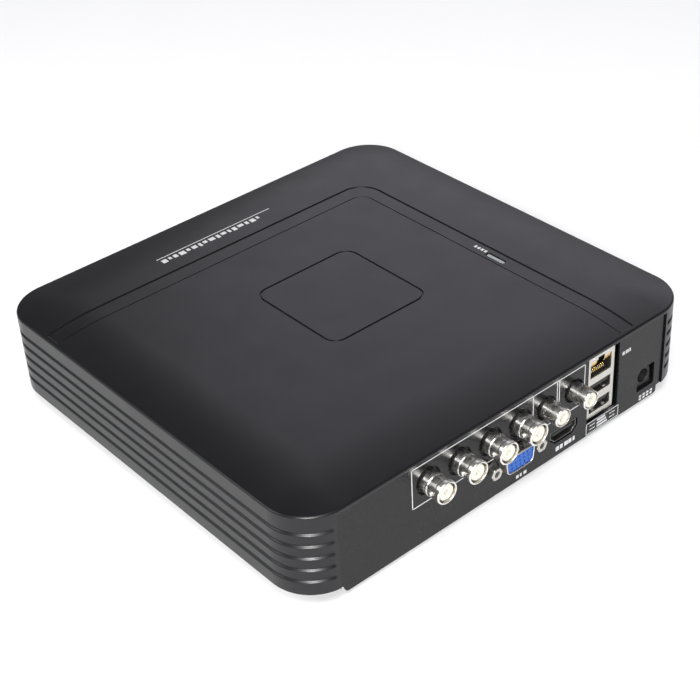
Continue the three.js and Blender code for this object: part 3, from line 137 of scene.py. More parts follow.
def finish(name, colour, rough, metal=0.0, ior=1.5, grain=(0.3, 0.02), mottle=(6, 0.08),
           scuff=0.0, tint=0.06, brushed=None, through=0.0):
    """A node material: fine grain as bump, roughness that wanders, faint colour drift, and sparse scuffs.

    The grain and the mottle are (size in mm, strength). A brushed scale stretches the grain.
    """
    mat = bpy.data.materials.new(name)
    mat.use_nodes = True
    tree = mat.node_tree
    shader = tree.nodes["Principled BSDF"]
    shader.inputs["Metallic"].default_value = metal
    shader.inputs["IOR"].default_value = ior
    shader.inputs["Transmission Weight"].default_value = through

    def node(kind, **settings):
        made = tree.nodes.new(kind)
        for key, value in settings.items():
            if hasattr(made, key):
                setattr(made, key, value)
            else:
                made.inputs[key].default_value = value
        return made

    def link(a, out, b, into):
        tree.links.new(a.outputs[out], b.inputs[into])

    place = node("ShaderNodeTexCoord")
    stretch = node("ShaderNodeMapping", Scale=brushed or (1, 1, 1))
    link(place, "Object", stretch, "Vector")

    def noise(size_mm, detail, roughness=0.6, source=place, out="Object"):
        made = node("ShaderNodeTexNoise", Scale=1 / (size_mm * MM), Detail=detail, Roughness=roughness)
        link(source, out, made, "Vector")
        return made

    def ranged(source, low, high, start=0.3, stop=0.7):
        made = node("ShaderNodeMapRange")
        for key, value in (("From Min", start), ("From Max", stop), ("To Min", low), ("To Max", high)):
            made.inputs[key].default_value = value
        tree.links.new(source, made.inputs["Value"])
        return made

    fine = noise(grain[0], 4, source=stretch, out="Vector")
    broad = noise(mottle[0], 5)
    wide = noise(mottle[0] * 9, 2)

    # Sparse rubbed spots and hairline marks: the thin crests of a long, stretched noise
    marks = node("ShaderNodeMapping", Scale=(1, 7, 3), Rotation=(0.2, 0.3, 0.7))
    link(place, "Object", marks, "Vector")
    streaks = noise(9, 7, 0.75, marks, "Vector")
    wear = ranged(streaks.outputs["Fac"], 0, scuff, 0.66, 0.74)

    base = node("ShaderNodeMix", data_type="RGBA")
    base.inputs["A"].default_value = (*[c * (1 - tint) for c in colour], 1)
    base.inputs["B"].default_value = (*[min(1, c * (1 + tint)) for c in colour], 1)
    tree.links.new(broad.outputs["Fac"], base.inputs["Factor"])
    worn = node("ShaderNodeMix", data_type="RGBA")
    worn.inputs["B"].default_value = (*[min(1, c * 1.3 + 0.03) for c in colour], 1)
    tree.links.new(base.outputs["Result"], worn.inputs["A"])
    tree.links.new(wear.outputs["Result"], worn.inputs["Factor"])
    tree.links.new(worn.outputs["Result"], shader.inputs["Base Color"])

    gloss = ranged(broad.outputs["Fac"], rough * (1 - mottle[1]), min(1, rough * (1 + mottle[1])))
    drift = ranged(wide.outputs["Fac"], -rough * mottle[1] * 0.5, rough * mottle[1] * 0.5)
    total = node("ShaderNodeMath", operation="ADD")
    tree.links.new(gloss.outputs["Result"], total.inputs[0])
    tree.links.new(drift.outputs["Result"], total.inputs[1])
    final = node("ShaderNodeMath", operation="ADD")
    tree.links.new(total.outputs["Value"], final.inputs[0])
    tree.links.new(wear.outputs["Result"], final.inputs[1])
    tree.links.new(final.outputs["Value"], shader.inputs["Roughness"])

    bump = node("ShaderNodeBump", Strength=0.6, Distance=grain[1] * MM)
    link(fine, "Fac", bump, "Height")
    link(bump, "Normal", shader, "Normal")
    return mat


LOOKS = {
    "shell_black": finish(
        "moulded_black", (0.0040, 0.0040, 0.0052), 0.34, ior=1.45,
        grain=(0.35, 0.012), mottle=(14, 0.07), scuff=0.05,
    ),
    "tray_black": finish(
        "tray_paint", (0.012, 0.012, 0.013), 0.52,
        grain=(0.5, 0.03), mottle=(9, 0.1), scuff=0.08,
    ),
    "panel_black": finish(
        "panel_paint", (0.0045, 0.0045, 0.0055), 0.27, ior=1.36,
        grain=(0.6, 0.006), mottle=(12, 0.12), scuff=0.04,
    ),
    "foot_rubber": finish(
        "foot_rubber", (0.012, 0.012, 0.012), 0.85,
        grain=(0.25, 0.05), mottle=(3, 0.08), scuff=0.1,
    ),
    "nickel_plate": finish(
        "bright_nickel", (0.80, 0.78, 0.74), 0.27, 1,
        grain=(0.6, 0.004), mottle=(2.5, 0.25), scuff=0.12, tint=0.05,
    ),
    "tin_shield": finish(
        "tinned_sheet", (0.62, 0.60, 0.56), 0.34, 1,
        grain=(0.5, 0.01), mottle=(2.5, 0.2), scuff=0.15, brushed=(1, 1, 0.15),
    ),
    "screw_zinc": finish(
        "zinc_plate", (0.55, 0.54, 0.50), 0.3, 1,
        grain=(0.4, 0.01), mottle=(1.5, 0.25), scuff=0.2,
    ),
    "insulator_white": finish(
        "insulator_white", (0.62, 0.60, 0.53), 0.4,
        grain=(0.4, 0.01), mottle=(2, 0.1), scuff=0.04, tint=0.03,
    ),
    "insert_blue": finish(
        "insert_blue", (0.012, 0.085, 0.36), 0.42,
        grain=(0.4, 0.012), mottle=(2, 0.1), scuff=0.06,
    ),
    "insert_black": finish(
        "insert_black", (0.010, 0.010, 0.010), 0.5,
        grain=(0.4, 0.015), mottle=(3, 0.1), scuff=0.05,
    ),
    "board_green": finish(
        "solder_mask", (0.003, 0.016, 0.008), 0.35,
        grain=(0.8, 0.01), mottle=(4, 0.12), scuff=0.04, tint=0.15,
    ),
    "chip_black": finish(
        "chip_epoxy", (0.016, 0.016, 0.017), 0.6,
        grain=(0.2, 0.02), mottle=(2, 0.08), scuff=0.03,
    ),
    "sink_aluminium": finish(
        "sink_aluminium", (0.60, 0.61, 0.62), 0.4, 1,
        grain=(0.4, 0.02), mottle=(3, 0.15), brushed=(1, 0.1, 1),
    ),
    "cell_steel": finish(
        "cell_steel", (0.66, 0.65, 0.62), 0.25, 1,
        grain=(0.4, 0.006), mottle=(2, 0.2), scuff=0.1,
    ),
    "light_clear": finish(
        "light_clear", (0.35, 0.37, 0.38), 0.2,
        grain=(0.6, 0.004), mottle=(3, 0.1), through=0.35,
    ),
    "led_white": finish(
        "led_white", (0.75, 0.75, 0.68), 0.3,
        grain=(0.3, 0.004), mottle=(1, 0.1),
    ),
    "drive_casting": finish(
        "drive_casting", (0.42, 0.43, 0.44), 0.5, 1,
        grain=(0.6, 0.05), mottle=(5, 0.15), scuff=0.1,
    ),
    "drive_lid": finish(
        "drive_lid", (0.62, 0.63, 0.64), 0.3, 1,
        grain=(0.4, 0.01), mottle=(5, 0.15), scuff=0.1, brushed=(0.1, 1, 1),
    ),
    "drive_disc": finish(
        "drive_disc", (0.72, 0.73, 0.74), 0.05, 1,
        grain=(2, 0.001), mottle=(8, 0.2),
    ),
    "magnet_plate": finish(
        "magnet_plate", (0.66, 0.64, 0.58), 0.25, 1,
        grain=(0.5, 0.006), mottle=(2, 0.2),
    ),
    "cable_jacket": finish(
        "cable_jacket", (0.018, 0.018, 0.019), 0.55,
        grain=(0.5, 0.02), mottle=(3, 0.1),
    ),
}
# Nickel darkened as painted shade: it stands for the shade inside the digital video socket's recessed
# mouth.
painted_shade_nickel = finish(
    "painted_shade_nickel", (0.20, 0.20, 0.20), 0.38, 1,
    grain=(0.5, 0.006), mottle=(2, 0.2), scuff=0.05,
)
gold = finish(
    "gold_plate", (0.86, 0.60, 0.26), 0.22, 1,
    grain=(0.4, 0.004), mottle=(1.5, 0.2), scuff=0.1,
)
ink = finish(
    "printed_white", (0.52, 0.52, 0.53), 0.6,
    grain=(0.25, 0.01), mottle=(1.5, 0.1), scuff=0.1, tint=0.12,
)


# ---------------------------------------------------------------- mesh helpers

class Surface:
    """The faces of one piece. Each island has its own vertices, so edges between islands stay crisp."""

    def __init__(self):
        self.points, self.normals, self.faces = [], [], []

    def add(self, points, faces, normals=None):
        points = np.asarray(points, float)
        if normals is None:
            normals = smooth_normals(points, faces)
        first = len(self.points)
        self.points.extend(points.tolist())
        self.normals.extend(np.asarray(normals, float).tolist())
        self.faces.extend([first + i for i in face] for face in faces)

    def grid(self, rows, closed=True, normals=None):
        """Faces between rows of points, each row going once around when closed."""
        count = len(rows[0])
        faces = []
        for i in range(len(rows) - 1):
            for j in range(count if closed else count - 1):
                k = (j + 1) % count
                faces.append((i * count + j, i * count + k, (i + 1) * count + k, (i + 1) * count + j))
        flat = [point for row in rows for point in row]
        self.add(flat, faces, None if normals is None else [n for row in normals for n in row])

    def flip(self):
        self.faces = [face[::-1] for face in self.faces]
        self.normals = [[-c for c in n] for n in self.normals]
        return self


def smooth_normals(points, faces):
    normals = np.zeros_like(points)
    for face in faces:
        corners = points[list(face)]
        area = np.cross(corners[1] - corners[0], corners[2] - corners[0])
        if len(face) == 4:
            area = np.cross(corners[2] - corners[0], corners[3] - corners[1])
        for i in face:
            normals[i] += area
    lengths = np.linalg.norm(normals, axis=1, keepdims=True)
    return normals / np.maximum(lengths, 1e-12)


def piece(name, surface, slot, stands_for=(), material=None, at=(0, 0, 0), body="recorder"):
    """Makes the object, moves it to the row frame, ties it to its body, and gives it the slot's look unless
    a material is given.
    """
    mesh = bpy.data.meshes.new(name)
    points = np.asarray(surface.points) * MM
    mesh.from_pydata(points.tolist(), [], surface.faces)
    mesh.polygons.foreach_set("use_smooth", [True] * len(mesh.polygons))
    mesh.normals_split_custom_set_from_vertices([Vector(n).normalized() for n in surface.normals])
    mesh.materials.append(material or LOOKS[slot])
    made = bpy.data.objects.new(name, mesh)
    made.location = (at[0] * MM, (at[1] + MIDDLE_Y) * MM, at[2] * MM)
    bpy.context.scene.collection.objects.link(made)
    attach(made, body)
    if stands_for:
        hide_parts(*stands_for)
    return made


def rounded(profile, radius, steps=4):
    """The profile with each inner corner eased by a small curve."""
    out = [tuple(profile[0])]
    for before, corner, after in zip(profile, profile[1:], profile[2:]):
        a, c, b = Vector(before), Vector(corner), Vector(after)
        reach = min(radius, (a - c).length * 0.45, (b - c).length * 0.45)
        start, end = c + (a - c).normalized() * reach, c + (b - c).normalized() * reach
        for i in range(steps + 1):
            t = i / steps
            out.append(tuple(start * (1 - t) ** 2 + c * 2 * t * (1 - t) + end * t * t))
    out.append(tuple(profile[-1]))
    return out


def lathe(profile, along="Y", sides=64, radius=0.15):
    """A turned piece from (radius, distance) pairs, about Y or Z."""
    surface = Surface()
    rows = []
    for r, d in rounded(profile, radius):
        ring = []
        for i in range(sides):
            angle = 2 * math.pi * i / sides
            u, v = r * math.cos(angle), r * math.sin(angle)
            ring.append((u, d, v) if along == "Y" else (v, u, d))
        rows.append(ring)
    surface.grid(rows)
    return surface


def loop_polygon(corners, radius, steps=8):
    """A closed outline with each corner eased. The radius is one number, or one for each corner."""
    count = len(corners)
    radii = [radius] * count if not isinstance(radius, (list, tuple)) else radius
    loop = []
    for i, corner in enumerate(corners):
        a, c, b = Vector(corners[i - 1]), Vector(corner), Vector(corners[(i + 1) % count])
        reach = min(radii[i], (a - c).length * 0.49, (b - c).length * 0.49)
        start, end = c + (a - c).normalized() * reach, c + (b - c).normalized() * reach
        if reach < 1e-6:
            loop.append(tuple(c))
            continue
        for k in range(steps + 1):
            t = k / steps
            loop.append(tuple(start * (1 - t) ** 2 + c * 2 * t * (1 - t) + end * t * t))
    return loop


def rectangle(x0, x1, z0, z1, radius=0.3, steps=5):
    return loop_polygon([(x0, z0), (x1, z0), (x1, z1), (x0, z1)], radius, steps)


def circle(x, z, radius, sides=56):
    return [(x + radius * math.cos(2 * math.pi * i / sides), z + radius * math.sin(2 * math.pi * i / sides))
            for i in range(sides)]


def outward(loop):
    """Unit normals that point out of a counter-clockwise loop."""
    pts = np.asarray(loop, float)
    edge = np.roll(pts, -1, 0) - pts
    normal = np.stack([edge[:, 1], -edge[:, 0]], 1)
    normal /= np.maximum(np.linalg.norm(normal, axis=1, keepdims=True), 1e-9)
    both = normal + np.roll(normal, 1, 0)
    both /= np.maximum(np.linalg.norm(both, axis=1, keepdims=True), 1e-9)
    lean = np.maximum((both * normal).sum(1, keepdims=True), 0.5)
    return both / lean


def grown(loop, amount):
    return (np.asarray(loop, float) + outward(loop) * amount).tolist()


def inside(point, loop):
    x, y = point
    crossed = False
    for (x0, y0), (x1, y1) in zip(loop, loop[1:] + loop[:1]):
        if (y0 > y) != (y1 > y) and x < (x1 - x0) * (y - y0) / (y1 - y0) + x0:
            crossed = not crossed
    return crossed


def filled(outer, holes):
    """Triangles that fill the outer loop and leave the holes open."""
    coords, edges = [], []
    for loop in (outer, *holes):
        first = len(coords)
        coords.extend(Vector(p) for p in loop)
        edges.extend((first + i, first + (i + 1) % len(loop)) for i in range(len(loop)))
    points, _, faces, *_ = delaunay_2d_cdt(coords, edges, [], 1, 1e-5)
    kept = []
    for face in faces:
        middle = sum((points[i] for i in face), Vector((0, 0))) / len(face)
        if inside(middle, outer) and not any(inside(middle, hole) for hole in holes):
            kept.append(tuple(face))
    return [tuple(p) for p in points], kept


def sheet_piece(outer, holes, front, back, edge=0.2, surface=None):
    """A flat plate across Y with openings, all its front edges eased, from loops of (x, z)."""
    surface = surface or Surface()
    steps = 4
    shapes = [(outer, -1)] + [(hole, 1) for hole in holes]
    for y, facing in ((front, 1), (back, -1)):
        shift = edge if facing == 1 else 0
        points, faces = filled(grown(outer, -shift), [grown(hole, shift) for hole in holes])
        oriented = [face[::-1] if facing == 1 else face for face in faces]
        surface.add([(x, y, z) for x, z in points], oriented, [(0, facing, 0)] * len(points))
    for loop, side in shapes:
        rows = []
        for i in range(steps + 1):
            angle = math.pi / 2 * i / steps
            ring = grown(loop, side * edge * (1 - math.sin(angle)))
            rows.append([(x, front - edge * (1 - math.cos(angle)), z) for x, z in ring])
        rows.append([(x, back, z) for x, z in loop])
        order = rows if side == -1 else [row[::-1] for row in rows]
        surface.grid(order)
    return surface


def swept(loop, profile, surface=None, radius=0.15):
    """An outline of (x, z) carried through (growth, y) pairs."""
    surface = surface or Surface()
    rows = []
    for growth, y in rounded(profile, radius):
        rows.append([(x, y, z) for x, z in grown(loop, growth)])
    surface.grid(rows)
    return surface


def capped(surface, loop, y, facing=1):
    points, faces = filled(loop, [])
    oriented = [face[::-1] if facing == 1 else face for face in faces]
    surface.add([(x, y, z) for x, z in points], oriented, [(0, facing, 0)] * len(points))


def brick(x, y, z, edge=0.15, surface=None):
    """A block with eased edges, from (low, high) pairs."""
    surface = surface or Surface()
    loop = rectangle(*x, *z, min(edge, (x[1] - x[0]) * 0.4, (z[1] - z[0]) * 0.4))
    ease = min(edge, (y[1] - y[0]) * 0.3)
    surface = swept(loop, [(-ease, y[1]), (0, y[1]), (0, y[0]), (-ease, y[0])], surface, ease)
    capped(surface, grown(loop, -ease), y[1], 1)
    capped(surface, grown(loop, -ease), y[0], -1)
    return surface


# ---------------------------------------------------------------- top shell

def smoothstep(a, b, value):
    t = np.clip((value - a) / (b - a), 0, 1)
    return t * t * (3 - 2 * t)


def inset_of(x, y):
    """How far in from the housing's outline a point of the roof lies."""
    dx, dy = HALF_WIDTH - np.abs(x), HALF_DEPTH - np.abs(y)
    straight = np.minimum(dx, dy)
    arc = CORNER_RADIUS - np.hypot(CORNER_RADIUS - dx, CORNER_RADIUS - dy)
    limit = CORNER_RADIUS - INNER_CORNER_RADIUS
    root = np.sqrt(np.maximum((dx + dy) ** 2 - 2 * (dx ** 2 + dy ** 2 - INNER_CORNER_RADIUS ** 2), 0))
    deep = (dx + dy + root) / 2 - INNER_CORNER_RADIUS
    out = np.where((dx < CORNER_RADIUS) & (dy < CORNER_RADIUS), np.minimum(arc, straight), straight)
    near_diagonal = (np.abs(dx - dy) < INNER_CORNER_RADIUS) & (out >= limit)
    return np.where(near_diagonal, np.minimum(deep, straight), out)


def quadrant_depth(x, y, left, front, radius):
    """Signed distance inside an area that starts at left and front, with one rounded corner."""
    cx, cy = left + radius, front + radius
    straight = np.minimum(x - left, y - front)
    return np.where((x < cx) & (y < cy), radius - np.hypot(x - cx, y - cy), straight)


def square_distance(x, y):
    qx = np.abs(x) - SQUARE_HALF + SQUARE_RADIUS
    qy = np.abs(y) - SQUARE_HALF + SQUARE_RADIUS
    out = np.hypot(np.maximum(qx, 0), np.maximum(qy, 0)) + np.minimum(np.maximum(qx, qy), 0)
    return out - SQUARE_RADIUS


def line_shape(distance):
    return 1 - smoothstep(0.28, 0.44, np.abs(distance))


def roof_z(x, y):
    inset = inset_of(x, y)
    z = ROOF_TOP - CROWN_DROP * np.maximum(0, 1 - (inset - EDGE_RADIUS) / CROWN_RUN) ** 2
    outer, inner = quadrant_depth(x, y, *BAND_OUTER), quadrant_depth(x, y, *BAND_INNER)
    band = BAND_DEPTH * smoothstep(-0.3, 0.3, outer) * (1 - smoothstep(-0.3, 0.3, inner))
    lines = LINE_DEPTH * np.maximum(line_shape(outer), line_shape(inner))
    pressed = np.maximum(band, lines) * smoothstep(BAND_END_INSET - 0.1, BAND_END_INSET + 0.35, inset)
    return z - pressed - LINE_DEPTH * line_shape(square_distance(x, y))


def outline(inset, steps=40, straight=14, extra=()):
    """Points on the outline moved in by inset, counter-clockwise, with their outward directions."""
    radius = max(CORNER_RADIUS - inset, INNER_CORNER_RADIUS)
    cx, cy = HALF_WIDTH - inset - radius, HALF_DEPTH - inset - radius
    points, directions = [], []
    for corner, (sx, sy) in enumerate([(1, 1), (-1, 1), (-1, -1), (1, -1)]):
        turns = sorted({i / steps * 90 for i in range(steps + 1)} | set(extra[corner] if extra else ()))
        for turn in turns:
            angle = math.radians(corner * 90 + turn)
            points.append((sx * cx + radius * math.cos(angle), sy * cy + radius * math.sin(angle)))
            directions.append((math.cos(angle), math.sin(angle)))
        after = [(-1, 1), (-1, -1), (1, -1), (1, 1)][corner]
        end = (after[0] * cx + radius * math.cos(math.radians(corner * 90 + 90)),
               after[1] * cy + radius * math.sin(math.radians(corner * 90 + 90)))
        last = points[-1]
        for i in range(1, straight):
            t = i / straight
            points.append((last[0] + (end[0] - last[0]) * t, last[1] + (end[1] - last[1]) * t))
            directions.append(directions[-1])
    return points, directions


def band_path(left, front, radius, shift):
    """One of the band's curves, moved in by shift, from the right end to the rear end."""
    left, front, radius = left + shift, front + shift, radius - shift
    end = BAND_END_INSET - 0.25
    path = [(HALF_WIDTH - end - i * (HALF_WIDTH - end - left - radius) / 30, front) for i in range(30)]
    for i in range(25):
        angle = math.radians(-90 - 90 * i / 24)
        path.append((left + radius + radius * math.cos(angle), front + radius + radius * math.sin(angle)))
    path += [(left, front + radius + i * (HALF_DEPTH - end - front - radius) / 24) for i in range(1, 25)]
    return path


def guide_slot(grow):
    x, y, _ = GUIDE
    half_x, half_y = SLOT_HALF_X + grow, SLOT_HALF_Y + grow
    return rectangle(x - half_x, x + half_x, y - half_y, y + half_y, 0.7 + grow, 6)


def top_shell():
    surface = Surface()
    window_turn = math.degrees(math.acos((SEAM_X - HALF_WIDTH + CORNER_RADIUS) / CORNER_RADIUS))
    fine = {72 + 0.5 * i for i in range(20)}
    extra = (fine | {window_turn}, {90 - turn for turn in fine | {window_turn}}, set(), set())
    ring, directions = outline(0, 40, 14, extra)
    ring, directions = np.array(ring), np.array(directions)

    # The side walls, with the grooves as a smooth dip in the wall
    heights = {SHELL_BOTTOM + CHAMFER, SEAM_Z, EDGE_START}
    for z in GROOVES:
        heights |= {z + GROOVE_HALF * 1.12 * t for t in np.linspace(-1, 1, 29)}
    heights = sorted(heights | {8.0, 9.5, 39.2, 40.5})

    # Each groove has a crisp upper lip and a long slope below its floor
    def dip(z):
        offset = min((z - g for g in GROOVES), key=abs) / GROOVE_HALF
        below = smoothstep(-1.1, -0.1, np.array(offset))
        above = smoothstep(0.6, 1.0, np.array(offset))
        return GROOVE_DEPTH * float(below * (1 - above))

    past_end = smoothstep(GROOVE_END_X - 0.5, GROOVE_END_X + 0.7, np.abs(ring[:, 0]))
    fade = np.where(ring[:, 1] > HALF_DEPTH / 2, past_end, 1.0)

    def wall_row(z):
        depth = dip(z) * fade
        slope = (dip(z + 0.02) - dip(z - 0.02)) / 0.04 * fade
        place = ring - directions * depth[:, None]
        normal = np.concatenate([directions, slope[:, None]], 1)
        normal /= np.linalg.norm(normal, axis=1, keepdims=True)
        return [(x, y, z) for x, y in place], normal.tolist()

    # Below the lintel the rear is open between the seams, and each row starts beside that opening.
    open_part = [i for i, (x, y) in enumerate(ring) if y > HALF_DEPTH / 2 and abs(x) < SEAM_X - 0.01]
    start = open_part[-1] + 1
    order = [(start + i) % len(ring) for i in range(len(ring) - len(open_part))]
    low = [z for z in heights if z <= SEAM_Z]
    chamfer = []
    for angle in (90, 67, 45, 22):
        across, down = math.cos(math.radians(angle)), -math.sin(math.radians(angle))
        place = ring - directions * CHAMFER * (1 - across)
        z = SHELL_BOTTOM + CHAMFER * (1 + down)
        points = [(x, y, z) for x, y in place]
        chamfer.append((points, [(dx * across, dy * across, down) for dx, dy in directions]))
    rows = chamfer + [wall_row(z) for z in low]
    surface.grid([[r[0][i] for i in order] for r in rows], False, [[r[1][i] for i in order] for r in rows])

    # The lintel's height and the rounded top edge go all the way around
    rows = [wall_row(z) for z in heights if z >= SEAM_Z]
    blend = math.asin(0.985)
    for i in range(1, 9):
        angle = blend * i / 8
        inset = EDGE_RADIUS * (1 - math.cos(angle))
        place = ring - directions * inset
        z = EDGE_START + EDGE_RADIUS * math.sin(angle) * 0.995
        across, up = math.cos(angle), math.sin(angle)
        points = [(x, y, z) for x, y in place]
        rows.append((points, [(dx * across, dy * across, up) for dx, dy in directions]))
    roof_inset = EDGE_RADIUS * (1 - math.cos(blend))
    surface.grid([r[0] for r in rows], True, [r[1] for r in rows])

    # The roof: rings that follow its crown, and loops along every pressed line
    coords, edges = [], []

    def constrain(path, closed):
        first = len(coords)
        coords.extend(Vector(p) for p in path)
        last = len(path) if closed else len(path) - 1
        edges.extend((first + i, first + (i + 1) % len(path)) for i in range(last))

    rim = [tuple(p) for p in ring - directions * roof_inset]
    constrain(rim, True)
    for inset in (1.25, 1.6, 1.8, 2.0, 2.3, 3, 4.5, 7, 10, 13.5, 17.5, 22, CROWN_RUN + EDGE_RADIUS):
        constrain(outline(inset, 24, 12)[0], True)
    for shift in (-0.6, -0.44, -0.4, -0.35, -0.3, -0.25, -0.2, 0, 0.2, 0.25, 0.3, 0.35, 0.4, 0.44, 0.6):
        constrain(band_path(*BAND_OUTER, shift), False)
        constrain(band_path(*BAND_INNER, shift), False)
        half = SQUARE_HALF + shift
        radius = SQUARE_RADIUS + shift
        square = []
        for corner, (sx, sy) in enumerate([(1, 1), (-1, 1), (-1, -1), (1, -1)]):
            for i in range(17):
                angle = math.radians(corner * 90 + 90 * i / 16)
                square.append((sx * (half - radius) + radius * math.cos(angle),
                               sy * (half - radius) + radius * math.sin(angle)))
        constrain(square, True)
    slot = guide_slot(0.2)
    constrain(slot, True)
    flat, _, faces, *_ = delaunay_2d_cdt(coords, edges, [], 1, 1e-4)
    flat = np.array([tuple(p) for p in flat])
    step = 0.02
    x, y = flat[:, 0], flat[:, 1]
    z = roof_z(x, y)
    slope_x = (roof_z(x + step, y) - roof_z(x - step, y)) / (2 * step)
    slope_y = (roof_z(x, y + step) - roof_z(x, y - step)) / (2 * step)
    normals = np.stack([-slope_x, -slope_y, np.ones(len(x))], 1)
    normals /= np.linalg.norm(normals, axis=1, keepdims=True)
    rim_z = rows[-1][0][0][2]
    at_rim = inset_of(x, y) < roof_inset + 0.02
    z[at_rim] = rim_z
    kept = []
    for face in faces:
        middle = flat[list(face)].mean(0)
        near = abs(middle[0] - GUIDE[0]) < 2 and abs(middle[1] - GUIDE[1]) < 6
        if not (near and inside(tuple(middle), slot)):
            kept.append(tuple(face))
    surface.add(np.column_stack([flat, z]), kept, normals)

    # The slot's eased lip and its walls
    rows = []
    floor = ROOF_TOP - BAND_DEPTH
    for growth, drop in ((0.2, 0), (0.1, 0.03), (0.03, 0.1), (0, 0.2), (0, WALL)):
        rows.append([(px, py, floor - drop) for px, py in guide_slot(growth)])
    surface.grid([row[::-1] for row in rows])

    # The bottom rim, the inner walls and the ceiling
    def ring_row(inset, height):
        return [(px, py, height) for px, py in ring - directions * inset]

    rim_rows = [ring_row(WALL, SHELL_BOTTOM), ring_row(CHAMFER, SHELL_BOTTOM)]
    surface.grid([[row[i] for i in order] for row in rim_rows], False)
    inner_rows = [ring_row(WALL, SEAM_Z), ring_row(WALL, SHELL_BOTTOM)]
    surface.grid([[row[i] for i in order] for row in inner_rows], False)
    ceiling, ceiling_faces = filled(outline(WALL, 12, 2)[0], [guide_slot(0)])
    surface.add([(px, py, SEAM_Z) for px, py in ceiling], ceiling_faces, [(0, 0, -1)] * len(ceiling))

    # The seam faces beside and above the connector panel
    for side in (-1, 1):
        edge_y = HALF_DEPTH - CORNER_RADIUS * (1 - math.sin(math.radians(window_turn)))
        face_y = [edge_y, PANEL_BACK]
        rows = [[(side * SEAM_X, v, h) for v in face_y] for h in (SHELL_BOTTOM, SEAM_Z)]
        surface.grid(rows if side == -1 else rows[::-1], False)
    stations = [open_part[0] - 1, *open_part, open_part[-1] + 1]
    lintel = [[tuple(ring[i]) + (SEAM_Z,) for i in stations]]
    lintel.append([(px, PANEL_BACK, h) for px, _, h in lintel[0]])
    surface.grid(lintel, False)
    return surface


piece("top_shell_skin", top_shell(), "shell_black", ["top_shell"])


# ---------------------------------------------------------------- connector panel

video = [centre(f"video_jack_{i}") for i in range(1, 5)]
audio = [centre(f"audio_jack_{i}") for i in range(1, 3)]
vga, hdmi, power = centre("vga_shell"), centre("hdmi_shell"), centre("power_jack_pin")
VGA_AT = (vga[0], VGA_Z)
stack_low, stack_high = span("port_stack_shield")
STACK_X = (stack_low[0] + stack_high[0]) / 2
STACK_FACE = far_y("port_stack_shield")


def vga_outline(grow=0.0):
    top, low, half = 8.1, 7.0, 4.1
    corners = [(-low, -half), (low, -half), (top, half), (-top, half)]
    return grown([(x + VGA_AT[0], z + VGA_AT[1]) for x, z in loop_polygon(corners, 2.4, 8)], grow)


def hdmi_outline(grow=0.0):
    corners = [(-5.3, -2.8), (5.3, -2.8), (6.2, -1.3), (7.5, -0.8), (7.5, 2.8), (-7.5, 2.8), (-7.5, -0.8),
               (-6.2, -1.3)]
    loop = loop_polygon(corners, [0.6, 0.6, 0.7, 0.9, 0.6, 0.6, 0.9, 0.7], 5)
    return grown([(x + hdmi[0], z + hdmi[2]) for x, z in loop], grow)


panel_low, panel_high = span("rear_panel")
foot = PANEL_FOOT_HALF
shoulder = SHELL_BOTTOM - 0.4
panel_corners = [
    (-foot, panel_low[2]), (foot, panel_low[2]), (foot, shoulder), (panel_high[0], SHELL_BOTTOM),
    (panel_high[0], panel_high[2]), (panel_low[0], panel_high[2]), (panel_low[0], SHELL_BOTTOM),
    (-foot, shoulder),
]
panel_outline = loop_polygon(panel_corners, [2.4, 2.4, 0.2, 0.2, 0.4, 0.4, 0.2, 0.2], 6)
# The tower's notch is open at the panel's upper edge, so it belongs to the outline.
notch = [
    (NOTCH_RIGHT, panel_high[2]), (NOTCH_RIGHT, NOTCH_FLOOR),
    (NOTCH_LEFT, NOTCH_FLOOR), (NOTCH_LEFT, panel_high[2]),
]
upper = next(i for i, (x, z) in enumerate(panel_outline) if z > panel_high[2] - 0.01 and x < 0)
panel_outline = panel_outline[:upper] + notch + panel_outline[upper:]
vga_screws = [VGA_AT[0] + side * VGA_SCREW_X for side in (-1, 1)]
power_x = (power[0] - POWER_HOLE_X, power[0] + POWER_HOLE_X)
power_z = (power[2] - POWER_HOLE_Z, power[2] + POWER_HOLE_Z)
panel_holes = [circle(x, z, VIDEO_HOLE) for x, _, z in video]
panel_holes += [circle(x, z, AUDIO_HOLE) for x, _, z in audio]
panel_holes += [circle(x, VGA_AT[1], VGA_SCREW_HOLE, 32) for x in vga_screws]
panel_holes += [vga_outline(SOCKET_CLEARANCE), hdmi_outline(SOCKET_CLEARANCE)]
panel_holes.append(rectangle(*power_x, *power_z, 0.5))
panel_skin = sheet_piece(panel_outline, panel_holes, PANEL_FACE, PANEL_BACK, 0.18)
piece("rear_panel_skin", panel_skin, "panel_black", ["rear_panel"])


# ---------------------------------------------------------------- printed lines and bars

def ink_bar(surface, x0, x1, z0, z1):
    """A thin printed bar on the panel's face."""
    loop = rectangle(min(x0, x1), max(x0, x1), z0, z1, 0.12, 3)
    points, faces = filled(loop, [])
    top, bottom = PANEL_FACE + MARK_RISE, PANEL_FACE - MARK_RISE
    facing_out = [face[::-1] for face in faces]
    surface.add([(x, top, z) for x, z in points], facing_out, [(0, 1, 0)] * len(points))
    surface.grid([[(x, top, z) for x, z in loop], [(x, bottom, z) for x, z in loop]])


def ink_box(surface, x0, x1, z0, z1, width):
    ink_bar(surface, x0, x1, z1 - width, z1)
    ink_bar(surface, x0, x1, z0, z0 + width)
    ink_bar(surface, x0 - width / 2, x0 + width / 2, z0, z1)
    ink_bar(surface, x1 - width / 2, x1 + width / 2, z0, z1)


def ink_words(surface, start, pitch, widths, z0, z1):
    """A row of plain bars in place of a caption, running towards -X."""
    for i, width in enumerate(widths):
        ink_bar(surface, start - i * pitch, start - i * pitch - width, z0, z1)


